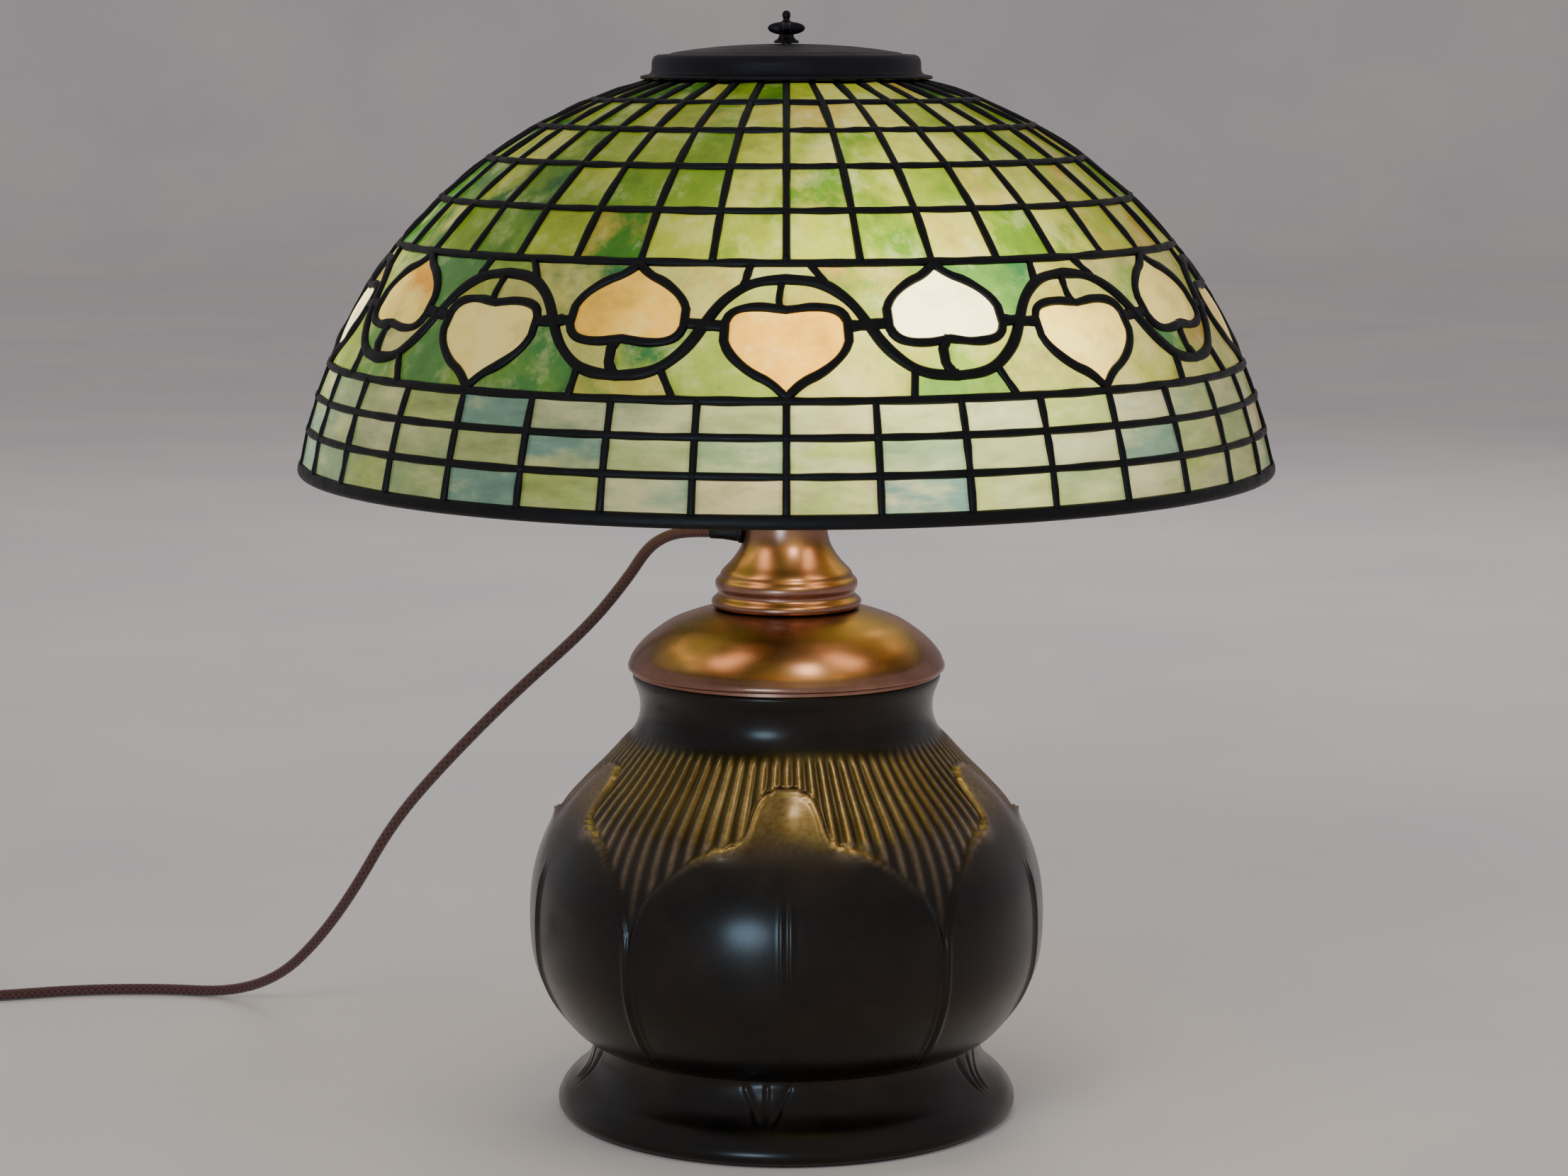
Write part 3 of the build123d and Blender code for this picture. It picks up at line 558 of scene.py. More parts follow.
def glassAttributes(points, tints, streaks, inner, warmth):
    # what the glass material reads: two colours a piece, the lamp's painted light, and 0 at an edge, 1 away
    # from it
    bright = glowAt(points)[..., None] * np.array((*warmth, 0)) + (0, 0, 0, 1)
    spread = np.ones((*points.shape[:3], 1))
    return {
        "tint": tints[:, None, None] * spread,
        "streak": streaks[:, None, None] * spread,
        "light": bright,
        "inner": (inner * spread[..., 0]).reshape(-1, 1),
    }


def glassSlabs(name, middle, normal, inner, tints, streaks, material, replaced):
    # separate slabs from k grids of middle points: an outer face, an inner face and the walls between them
    k, n, m, _ = middle.shape
    half = dome["glassHalf"]
    points = np.concatenate([middle + half * normal, (middle - half * normal)[:, :, ::-1]], 2)
    j = np.arange(m - 1)
    cap = np.stack([j, j + 1, 2 * m - 2 - j, 2 * m - 1 - j], -1)
    faces = np.vstack([gridFaces(n, 2 * m, closeColumns=True), cap[:, ::-1], cap + (n - 1) * 2 * m])
    faces = repeatedFaces(faces, k, n * 2 * m)
    inner = np.concatenate([inner, inner[:, :, ::-1]], 2)
    attributes = glassAttributes(points, tints, streaks, inner, (1.0, 1.0, 0.93))
    return makeMesh(name, points, faces, material, "shade", replaced, attributes)


def tileGrid(low, high, look, rng, tucked):
    # flat tiles of one row: four corners a tile, drawn in from the lead lines and tipped a little, with
    # straight lines between them; inner is 0 at a tile's edge and 1 away from it
    columns, inset = dome["columns"], look["tileInset"]
    steps = np.array(look["tileSteps"])
    pitch = 360 / columns
    first = np.arange(columns) * pitch
    lowRadius = domePoint(0, low)[1] * -1
    highRadius = domePoint(0, high)[1] * -1
    upInset = math.degrees(inset / dome["arc"])
    corners = []
    ends = ((low, lowRadius), (high, highRadius))
    for (rise, radius), side in [(end, side) for end in ends for side in (1, -1)]:
        turn = first + (pitch if side < 0 else 0) + side * math.degrees(inset / radius)
        atRise = rise + (upInset - tucked if rise == low else -upInset)
        out = look["tileProud"] + rng.normal(0, look["tileTilt"], columns)
        corners.append(domePoint(turn, atRise) + domeNormal(turn, atRise) * out[:, None])
    a, b, c, d = (corner[:, None, None] for corner in corners)
    u, v = steps[None, None, :, None], steps[None, :, None, None]
    middle = (a * (1 - u) + b * u) * (1 - v) + (c * (1 - u) + d * u) * v
    normal = domeNormal(first + pitch / 2, (low + high) / 2)[:, None, None]
    edge = np.where((steps == 0) | (steps == 1), 0.0, 1.0)
    inner = np.broadcast_to(edge[None, :, None] * edge[None, None, :], (columns, len(steps), len(steps)))
    return middle, np.broadcast_to(normal, middle.shape), inner


glassLook = {
    "tileInset": 0.9,
    "tuckedRise": 0.75,
    "tileProud": 0.1,
    "tileTilt": 0.22,
    "tileSteps": (0.0, 0.07, 0.5, 0.93, 1.0),
    "upperPalette": (
        (40, 100, 34), (76, 130, 32), (118, 152, 32), (158, 174, 42), (188, 194, 62), (208, 206, 92),
        (202, 176, 70),
    ),
    "lowerPalette": (
        (120, 152, 132), (148, 172, 128), (170, 182, 106), (206, 198, 148), (172, 186, 90),
        (214, 194, 140),
    ),
    "bandPalette": (
        (60, 116, 62), (84, 136, 66), (128, 162, 54), (170, 182, 72), (220, 202, 118), (190, 188, 78),
        (198, 156, 70),
    ),
    "acornPalette": ((226, 158, 44), (238, 192, 76), (246, 218, 114), (248, 222, 132), (250, 242, 178)),
    "upperGlow": 0.95,
    "lowerGlow": 0.92,
    "bandGlow": 0.92,
    "acornGlow": 1.5,
}
upperGlass = opalGlass("upperOpal", glassLook["upperGlow"], (20, 20, 14))
lowerGlass = opalGlass("lowerOpal", glassLook["lowerGlow"], (12, 12, 34))
bandGlass = opalGlass("bandOpal", glassLook["bandGlow"], (18, 18, 18))
acornGlass = opalGlass("acornOpal", glassLook["acornGlow"], (14, 14, 20))


def makeTileRows(rises, group, palette, material, look):
    for number, (low, high) in enumerate(zip(rises, rises[1:]), 1):
        rng = np.random.default_rng(40 + number + (20 if group == "Lower" else 0))
        tucked = look["tuckedRise"] if low == dome["lower"][0] else 0.0
        middle, normal, inner = tileGrid(low, high, look, rng, tucked)
        turns = (np.arange(dome["columns"]) + 0.5) * 10
        # the glass is paler and yellower towards +X and greener towards -X: partly its own mix, partly
        # painted light on the brighter side
        places = 0.46 + 0.17 * np.sin(np.radians(turns)) + 0.05 * math.sin(number * 2.1)
        tints = pickColours(rng, palette, places, 0.2)
        streaks = pickColours(rng, palette, places + 0.1, 0.3)
        name = f"{group.lower()}GlassRow{number}"
        glassSlabs(name, middle, normal, inner, tints, streaks, material,
                   (f"glass_{group.lower()}_row_{number}",))


makeTileRows(dome["upper"], "Upper", glassLook["upperPalette"], upperGlass, glassLook)
makeTileRows(dome["lower"], "Lower", glassLook["lowerPalette"], lowerGlass, glassLook)
print("tile rows made")


# The motif band. A place in it is a turn from the middle of an acorn, and a height from 0 at the lower border
# to 1 at the upper one. Every other acorn is upside down, half a repeat further round.
motifLook = {
    "acorn": (
        (0, 0.026), (0.7, 0.058), (1.3, 0.089), (2.4, 0.130), (3.6, 0.162), (5.0, 0.213), (6.4, 0.284),
        (7.3, 0.361), (7.65, 0.45), (7.3, 0.546), (6.4, 0.602), (4.9, 0.628), (3.0, 0.633),
        (1.4, 0.623), (0, 0.612),
    ),
    "vine": ((0, 0.858), (3.1, 0.84), (5.3, 0.795), (7.3, 0.71), (8.7, 0.62), (10, 0.5)),
    "acornMiddle": (0.0, 0.38),
    "side": (7.5, 0.49),
    "diagonals": {
        (False, 1): ((14.5, 0.0), (15.0, 0.2)),
        (False, -1): ((12.8, 0.0), (14.8, 0.2)),
        (True, 1): ((15.3, 0.0), (14.5, 0.2)),
        (True, -1): ((17.0, 0.0), (14.6, 0.2)),
    },
    "stems": {
        False: ((-0.2, 0.6), (-0.9, 0.66), (-0.8, 0.76), (-0.5, 0.86)),
        True: ((0.0, 0.59), (-0.8, 0.64), (-1.25, 0.70), (-1.1, 0.78), (-0.3, 0.84), (0.5, 0.865)),
    },
    "stemWide": {False: 3.0, True: 4.4},
    "swell": 0.12,
}
halfRepeat = 180 / dome["repeats"]


def bandRise(height):
    # heights are crowded a little towards the lower border
    low, high = dome["lower"][-1], dome["upper"][0]
    return low + (height + motifLook["swell"] * height * (1 - height)) * (high - low)


def wholeVine(look):
    # the vine from a crest to the next trough: its second half is the first, turned half a turn
    half = np.array(look["vine"], float)
    other = np.stack([halfRepeat - half[::-1, 0], 1 - half[::-1, 1]], 1)
    return np.vstack([half, other[1:]])


acornSide = smoothLine(motifLook["acorn"], 40)
acornLoop = np.vstack([acornSide[:-1], (acornSide[::-1] * (-1, 1))[:-1]])
vineLine = smoothLine(wholeVine(motifLook), 41)


def allRound(local, upside, side=1):
    # a local patch of (turn, height) put at all nine repeats, upright or upside down, as turns and rises
    local = np.asarray(local, float)
    height = 1 - local[..., 1] if upside else local[..., 1]
    starts = np.arange(dome["repeats"]) * 2 * halfRepeat + (halfRepeat if upside else 0)
    turns = np.stack([start + side * local[..., 0] for start in starts])
    return turns, np.repeat(bandRise(height)[None], len(starts), 0)


def blendRows(first, second, steps):
    # straight from one line of places to another: rows of the patch at the given shares of the way
    steps = np.asarray(steps)[:, None, None]
    return first[None] * (1 - steps) + second[None] * steps


def patchInner(k, n, m):
    inner = np.zeros((n, m))
    inner[1:-1, 1:-1] = 1
    return np.repeat(inner[None], k, 0)


edgeSteps = np.array((0.0, 0.1, 0.35, 0.65, 0.9, 1.0))
alongSteps = np.r_[0, 0.06, np.linspace(0.16, 0.84, 6), 0.94, 1]


def backgroundPatch(upside, side):
    # from the acorn's side out to the diagonal and the vine, at heights from the border to where they meet
    heights = 0.012 + 0.478 * alongSteps
    rising = acornSide[: np.argmax(acornSide[:, 1] > 0.52)]
    near = np.interp(heights, rising[:, 1], rising[:, 0], left=0.0)
    vineTurn = np.interp(heights, vineLine[::-1, 1], vineLine[::-1, 0])
    (footTurn, footHeight), (headTurn, headHeight) = motifLook["diagonals"][(upside, side)]
    slant = np.interp(heights, (footHeight, headHeight), (footTurn, headTurn))
    far = np.where(heights < headHeight, slant, vineTurn)
    return blendRows(np.stack([near, heights], 1), np.stack([far, heights], 1), edgeSteps)


def crescentPatch(upside, side):
    # from the acorn's top up to the vine, at turns from the stem out to where they meet
    turns = -0.4 * side + (10.25 + 0.4 * side) * alongSteps
    peak = np.argmax(acornSide[:, 0])
    top = acornSide[peak:][::-1]
    low = np.interp(np.abs(turns), top[:, 0], top[:, 1])
    low = np.where(turns > motifLook["side"][0], 0.49, low)
    high = np.interp(np.abs(turns), vineLine[:, 0], vineLine[:, 1])
    return blendRows(np.stack([turns, low], 1), np.stack([turns, high], 1), edgeSteps)


def stripPatch(upside, side):
    # the strip from the border up to the vine's trough, between the diagonals of two neighbouring acorns
    share = (edgeSteps * 0.985 + 0.012)[:, None]
    (foot, _), (head, _) = motifLook["diagonals"][(upside, 1)]
    near = foot * (1 - share) + head * share
    (foot, _), (head, _) = motifLook["diagonals"][(upside, -1)]
    far = 2 * halfRepeat - foot * (1 - share) - head * share
    turns = near + (far - near) * alongSteps[None, :]
    folded = halfRepeat - np.abs(turns - halfRepeat)
    return np.stack([turns, share * np.interp(folded, vineLine[:, 0], vineLine[:, 1])], -1)


def acornPatch():
    # rings from the middle of an acorn out to its outline, over the outer face and back over the inner one
    rings = np.array((0.0, 0.35, 0.65, 0.86, 1.0))
    middle = np.array(motifLook["acornMiddle"])
    return middle + (acornLoop[None] - middle) * rings[:, None, None], rings


def makeAcorns(look):
    # each acorn is a slightly crowned disc of glass, closed at its two middles
    patch, rings = acornPatch()
    parts = [allRound(patch, upside) for upside in (False, True)]
    turns, rises = (np.concatenate(values) for values in zip(*parts))
    rng = np.random.default_rng(71)
    crown = (1.1 * (1 - rings**2))[None, :, None, None]
    middle, normal = domePoint(turns, rises), domeNormal(turns, rises)
    outer = middle + normal * (dome["glassHalf"] - 0.4 + crown)
    inner = middle - normal * dome["glassHalf"]
    points = np.concatenate([outer, inner[:, ::-1]], 1)
    k, n, m, _ = points.shape
    faces = repeatedFaces(gridFaces(n, m, closeColumns=True), k, n * m)
    places = rng.permutation(np.linspace(0.02, 0.9, k))
    places[9:][np.array((0,))] = 0.99  # the upside-down one just right of the front is painted nearly white, painted light from a bulb right behind it
    tints = pickColours(rng, look["acornPalette"], places, 0.04)
    streaks = pickColours(rng, look["acornPalette"], places + 0.2, 0.2)
    edge = np.clip((1 - np.concatenate([rings, rings[::-1]])) / 0.14, 0, 1)
    attributes = glassAttributes(points, tints, streaks, edge[None, :, None], (1.0, 0.96, 0.88))
    makeMesh("acornPanes", points, faces, acornGlass, "shade", ("acorn_glass",), attributes)


def makeBandPiece(name, patch, look, replaced, seed, place, spread, sides=(1, -1)):
    parts = [allRound(patch(upside, side), upside, side) for upside in (False, True) for side in sides]
    turns, rises = (np.concatenate(values) for values in zip(*parts))
    rng = np.random.default_rng(seed)
    k, n, m = turns.shape
    around = turns.mean((1, 2))
    # the glass is paler and yellower towards +X and greener towards -X: partly its own mix, partly painted
    # light on the brighter side
    places = place + 0.16 * np.sin(np.radians(around))
    tints = pickColours(rng, look["bandPalette"], places, spread)
    streaks = pickColours(rng, look["bandPalette"], places + 0.15, spread * 1.4)
    middle, normal = domePoint(turns, rises, -0.3), domeNormal(turns, rises)
    glassSlabs(name, middle, normal, patchInner(k, n, m), tints, streaks, bandGlass,
               (replaced,))


makeAcorns(glassLook)
makeBandPiece("backgroundPanes", backgroundPatch, glassLook, "background_glass", 81, 0.38, 0.2)
makeBandPiece("crescentPanes", crescentPatch, glassLook, "crescent_glass", 82, 0.5, 0.22)
makeBandPiece("stripPanes", stripPatch, glassLook, "edge_strip_glass", 83, 0.5, 0.2, (1,))
print("motif band glazed")


def leadBeads(turns, rises, wide, high, seed, closed=False, waves=9):
    # beads along paths on the dome: an oval section, wide across the path and high along the normal, that
    # swells and shrinks in slow waves; the ends of an open bead close to a point
    k, n = turns.shape
    sides = dome["leadSides"]
    middle, normal = domePoint(turns, rises), domeNormal(turns, rises)
    if closed:
        ahead = np.roll(middle, -1, 1) - np.roll(middle, 1, 1)
    else:
        ahead = np.gradient(middle, axis=1)
    ahead /= np.linalg.norm(ahead, axis=-1, keepdims=True)
    across = np.cross(ahead, normal)
    rng = np.random.default_rng(seed)
    share = np.linspace(0, 1, n, endpoint=not closed)[None, :, None]
    waves = rng.integers(2, waves, (k, 1, 4))
    swell = 1 + 0.035 * np.sin(2 * np.pi * (waves * share + rng.random((k, 1, 4)))).sum(-1)
    if not closed:
        swell[:, (0, -1)] = 0
    ring = superRing(1, 1, dome["leadSquare"], sides)
    sideways = across[:, :, None] * (wide / 2 * swell)[..., None, None] * ring[:, :1]
    upright = normal[:, :, None] * (high * swell)[..., None, None] * ring[:, 1:]
    points = middle[:, :, None] + sideways + upright
    faces = gridFaces(n, sides, closeRows=closed, closeColumns=True)
    return points.reshape(-1, 3), repeatedFaces(faces, k, n * sides)


def solderBlobs(turns, rises, wide, high, seed):
    # a low rounded lump at each crossing: rings of eight points from the inner pole to the outer one
    rng = np.random.default_rng(seed)
    polar = np.linspace(-np.pi / 2, np.pi / 2, 6)[:, None]
    around = np.linspace(0, 2 * np.pi, 8, endpoint=False)[None, :]
    flat = np.stack(np.broadcast_arrays(np.cos(polar) * np.cos(around), np.cos(polar) * np.sin(around)), -1)
    size = rng.uniform(0.8, 1.15, (turns.size, 1, 1, 1))
    middle, normal = domePoint(turns.ravel(), rises.ravel()), domeNormal(turns.ravel(), rises.ravel())
    t = np.radians(turns.ravel())
    right = np.stack([np.cos(t), np.sin(t), 0 * t], -1)
    up = np.cross(normal, right)
    points = middle[:, None, None] + size * wide / 2 * (
        right[:, None, None] * flat[..., :1] + up[:, None, None] * flat[..., 1:]
    ) + normal[:, None, None] * (high * size) * np.sin(polar)[..., None]
    faces = repeatedFaces(gridFaces(6, 8, closeColumns=True), turns.size, 48)
    return points.reshape(-1, 3), faces


def joined(*parts):
    points, faces, start = [], [], 0
    for place, face in parts:
        points.append(place)
        faces.append(face + start)
        start += len(place)
    return np.vstack(points), np.vstack(faces)


columnTurns = np.arange(dome["columns"]) * 360.0 / dome["columns"]
roundTurns = np.linspace(0, 360, 288, endpoint=False)


def rowRings(rises, wide, seed):
    turns, at = np.meshgrid(roundTurns, np.array(rises))
    return leadBeads(turns, at, wide, dome["leadHigh"], seed, closed=True, waves=70)


def barSteps(count):
    # shares of the way along a bar, with a short first and last step so that its ends are blunt
    return np.r_[0, 0.004, np.linspace(0.03, 0.97, count - 4), 0.996, 1]


def columnBars(low, high, count, seed):
    rises = np.repeat((low + (high - low) * barSteps(count))[None], len(columnTurns), 0)
    turns = np.repeat(columnTurns[:, None], count, 1)
    return leadBeads(turns, rises, dome["lineWide"], dome["leadHigh"], seed)


def crossings(rises, seed):
    turns, at = np.meshgrid(columnTurns, np.array(rises))
    return solderBlobs(turns, at, dome["lineWide"] + 1.3, dome["leadHigh"] + 0.12, seed)


def makeLeading():
    upper, lower = dome["upper"], dome["lower"]
    points, faces = joined(
        rowRings(upper[1:-1], dome["lineWide"], 11), columnBars(upper[0], upper[-1] + 0.6, 26, 12),
        crossings(upper[1:-1], 13),
    )
    makeMesh("upperLeading", points, faces, finishes["lead"], "shade",
             tuple(f"leading_upper_row_{number}" for number in range(1, 6)))
    points, faces = joined(
        rowRings(lower[1:-1], dome["lineWide"], 14), columnBars(lower[0] - 0.3, lower[-1], 12, 15),
        crossings(lower[1:-1], 16),
    )
    makeMesh("lowerLeading", points, faces, finishes["lead"], "shade",
             tuple(f"leading_lower_row_{number}" for number in range(1, 4)))

    # the band: two borders, the vine all round, an outline round every acorn, stems, connectors and diagonals
    vine = np.vstack([vineLine[:-1], (vineLine * (-1, 1) + (2 * halfRepeat, 0))[::-1][:-1]])
    starts = [repeat * 2 * halfRepeat for repeat in range(dome["repeats"])]
    vineTurns = np.concatenate([vine[:, 0] + start for start in starts])[None]
    vineRises = np.tile(bandRise(vine[:, 1]), dome["repeats"])[None]
    parts = [
        rowRings((lower[-1], upper[0]), dome["lineWide"] + 0.3, 17),
        leadBeads(vineTurns, vineRises, dome["vineWide"], dome["leadHigh"] + 0.15, 18, closed=True, waves=70),
    ]
    straight = barSteps(9)[:, None]
    high = dome["leadHigh"] - 0.1
    for upside in (False, True):
        turns, rises = allRound(acornLoop, upside)
        parts.append(leadBeads(turns, rises, dome["outlineWide"], dome["leadHigh"], 19 + upside, closed=True))
        turns, rises = allRound(smoothLine(motifLook["stems"][upside], 14), upside)
        parts.append(leadBeads(turns, rises, motifLook["stemWide"][upside], high, 22 + upside))
        for side in (1, -1):
            for number, (start, end, wide) in enumerate((
                (motifLook["side"], (10.3, 0.5), 5.0),
                (*motifLook["diagonals"][(upside, side)], 3.3),
            )):
                line = np.array(start) * (1 - straight) + np.array(end) * straight
                turns, rises = allRound(line, upside, side)
                parts.append(leadBeads(turns, rises, wide, high, 30 + number + 2 * side + 10 * upside))
    points, faces = joined(*parts)
    makeMesh("bandLeading", points, faces, finishes["lead"], "shade", ("band_leading",))


makeLeading()
print("leading soldered")


def domeSection(rise, halfUp, halfOut, square, count):
    # a rounded section about a place on the dome's arc, as radius and height
    ring = superRing(halfOut, halfUp, square, count)
    r = math.radians(rise)
    radius = dome["radius"] + dome["arc"] * math.cos(r)
    height = dome["height"] + dome["arc"] * math.sin(r)
    return np.stack([radius + ring[:, 0] * math.cos(r) - ring[:, 1] * math.sin(r),
                     height + ring[:, 0] * math.sin(r) + ring[:, 1] * math.cos(r)], 1)


shadeMetal = {
    "rimHalfUp": 2.9,
    "rimHalfOut": 3.1,
    "rimSquare": 0.7,
    "topRing": (
        (50.0, 436.25), (55.6, 436.25), (57.2, 437.0), (57.6, 438.2), (57.0, 439.4), (55.2, 440.1),
        (50.0, 440.25),
    ),
}
rimSize = (shadeMetal["rimHalfUp"], shadeMetal["rimHalfOut"], shadeMetal["rimSquare"])
rim = domeSection(dome["rimRise"], *rimSize, 20)
lathe("rimBand", rim, finishes["lead"], "shade", 288, ("rim_band",))
lathe("topRing", shadeMetal["topRing"], finishes["lead"], "shade", 144, ("shade_top_ring",))
print("shade metal made")


capLook = {
    "outer": (
        (54.4, 440.62), (60.3, 440.62), (61.0, 441.0), (61.15, 441.6), (60.7, 442.1), (59.4, 442.4),
        (57.6, 442.7), (56.7, 443.4), (56.3, 444.6), (56.25, 447.2), (56.0, 448.8), (55.2, 450.1),
        (53.6, 450.8), (50.6, 451.0), (48.6, 451.15), (47.6, 451.6), (46.0, 451.9), (38.0, 453.1),
        (28.0, 454.2), (16.0, 454.95), (6.5, 455.25), (2.7, 455.3),
    ),
    "inner": (
        (2.7, 453.5), (16.0, 453.1), (28.0, 452.3), (38.0, 451.2), (50.0, 449.3), (53.9, 447.6),
        (54.4, 444.4),
    ),
}
capLine = capLook["outer"] + capLook["inner"]
lathe("heatCap", capLine, finishes["dark"], "top_cap", 160, ("heat_cap",))


def makeFinial():
    # one skin round the axis: its radius follows a turned outline, and four lobes swell out of it
    outline = np.array((
        (0, 455.52), (4.6, 455.52), (5.2, 455.9), (5.1, 456.5), (4.0, 457.1), (3.2, 458.2),
        (3.1, 459.4), (3.5, 460.6), (3.7, 461.8), (3.4, 463.2), (2.5, 464.2), (1.6, 464.8),
        (1.35, 465.4), (1.5, 466.0), (1.75, 466.9), (1.6, 468.0), (0.9, 468.8), (0, 469.0),
    ))
    line = smoothLine(outline, 64)
    turn = np.linspace(0, 2 * np.pi, 72, endpoint=False)
    lobes = np.abs(np.cos(2 * turn)) ** 3.2
    swell = np.clip(1 - ((line[:, 1] - 461.7) / 2.5) ** 2, 0, None) ** 0.5
    radius = np.clip(line[:, 0], 0, None)[:, None] + 4.1 * swell[:, None] * lobes[None]
    points = np.stack([radius * np.cos(turn), radius * np.sin(turn), line[:, 1][:, None] + 0 * radius], -1)
    points[0], points[-1] = points[0].mean(0), points[-1].mean(0)
    faces = gridFaces(64, 72, closeColumns=True)
    makeMesh("finialKnob", points, faces, finishes["dark"], "finial", ("finial",))


makeFinial()


coverLook = {
    "outer": (
        (65.2, 191.5), (67.0, 191.6), (67.7, 192.4), (67.6, 193.8), (67.0, 195.2), (66.0, 197.5),
        (63.9, 200.4), (60.5, 204.0), (55.6, 207.9), (49.6, 211.7), (41.0, 215.0), (34.0, 216.9),
        (31.2, 217.6), (26.0, 218.2),
    ),
    "inner": (
        (24.6, 216.7), (40.0, 213.4), (48.6, 210.2), (59.0, 202.9), (64.4, 196.8), (65.2, 194.0),
    ),
}
neckLook = {
    "outer": (
        (28.8, 218.35), (30.6, 218.35), (31.6, 219.1), (32.0, 220.3), (31.6, 221.6), (30.4, 222.7),
        (29.4, 223.7), (29.2, 224.6), (29.6, 225.8), (30.2, 227.0), (30.4, 228.4), (30.0, 229.8),
        (29.0, 231.0), (28.3, 231.7), (28.1, 232.6), (27.0, 234.2), (23.8, 237.5), (21.0, 241.2),
        (19.0, 244.8), (18.0, 248.0), (17.4, 252.0), (17.1, 257.0), (17.0, 262.0),
    ),
    "inner": (
        (15.4, 262.0), (15.8, 251.0), (17.3, 244.5), (22.0, 237.0), (26.2, 232.0), (27.4, 226.0),
        (28.2, 220.0),
    ),
}
spun = (("coverDome", coverLook, "cover_dome"), ("lampNeck", neckLook, "lamp_neck"))
for pieceName, look, partName in spun:
    profile = np.vstack([smoothLine(look["outer"], 64), smoothLine(look["inner"], 14)])
    lathe(pieceName, profile, finishes["polished"], "base", 160, (partName,))
print("cap, finial, cover and neck made")


urnLook = {
    "foot": (
        (90.0, 1.05), (96.6, 1.05), (98.2, 1.9), (98.8, 3.8), (98.6, 6.2), (96.8, 9.8), (93.8, 13.2),
        (90.2, 16.2), (87.0, 19.5), (84.9, 23.0), (83.6, 27.0), (83.1, 30.5), (83.4, 33.4),
    ),
    "belly": (
        (83.4, 33.4), (85.6, 34.8), (91.8, 39.3), (100.5, 51.0), (107.1, 66.0), (109.0, 83.0),
        (107.9, 101.0), (103.6, 116.6), (96.4, 130.5), (87.4, 141.0), (76.5, 152.0), (66.6, 163.5),
        (62.9, 172.0), (62.9, 180.0), (65.2, 186.6), (66.0, 189.0), (65.6, 190.0),
    ),
    "wall": (
        (62.4, 190.0), (60.0, 180.0), (60.0, 170.0), (74.0, 148.0), (93.0, 128.0), (104.0, 101.0),
        (104.8, 82.0), (97.0, 54.0), (79.0, 39.0), (76.6, 30.0), (85.0, 14.0), (89.0, 4.0),
    ),
    "leaf": (
        (0.0, 153.0), (3.5, 152.6), (6.2, 151.2), (7.9, 149.0), (9.0, 145.0), (9.6, 141.8),
        (9.9, 138.6), (10.8, 135.2), (12.8, 132.9), (15.4, 131.2), (18.1, 130.0), (20.6, 128.4),
        (23.4, 126.0), (27.5, 119.5), (31.7, 112.5), (34.4, 102.0), (36.0, 90.0),
    ),
    "leaves": 5,
    "ribs": 90,
    "ribDepth": 0.62,
    "ribRange": ((92, 140), (159, 166), (0.6, 2.2)),
    "bellyStart": 33.4,
    "leafRelief": 1.5,
    "leafEdge": (-0.8, 0.9),
    "bead": {"high": 0.7, "middle": 0.9, "wide": 1.1, "rises": (86, 96), "fades": (19, 27)},
    "tip": {"high": 2.0, "size": 11, "height": 141, "gildedAndSheen": (124, 146)},
    "curl": {"high": 1.4, "turn": 15.5, "wide": 4.0, "height": 130.5, "tall": 3.2},
    "midrib": {"high": 0.75, "away": 1.9, "wide": 0.8, "groove": 0.35, "grooveWide": 0.9},
    "seam": {"high": 0.7, "away": 1.9, "wide": 0.9, "groove": 1.3, "grooveWide": 1.0},
    "footTurn": -5.5,
    "around": 720,
    "stations": 118,
}


def easeBetween(value, low, high):
    # 0 below low, 1 above high, and a smooth S between
    share = np.clip((value - low) / (high - low), 0, 1)
    return share * share * (3 - 2 * share)


def lineDistance(x, y, line):
    # shortest distance from each place to a line of straight runs
    start, end = line[:-1], line[1:]
    run = end - start
    offX, offY = x[..., None] - start[:, 0], y[..., None] - start[:, 1]
    share = np.clip((offX * run[:, 0] + offY * run[:, 1]) / (run**2).sum(1), 0, 1)
    return np.hypot(offX - share * run[:, 0], offY - share * run[:, 1]).min(-1)


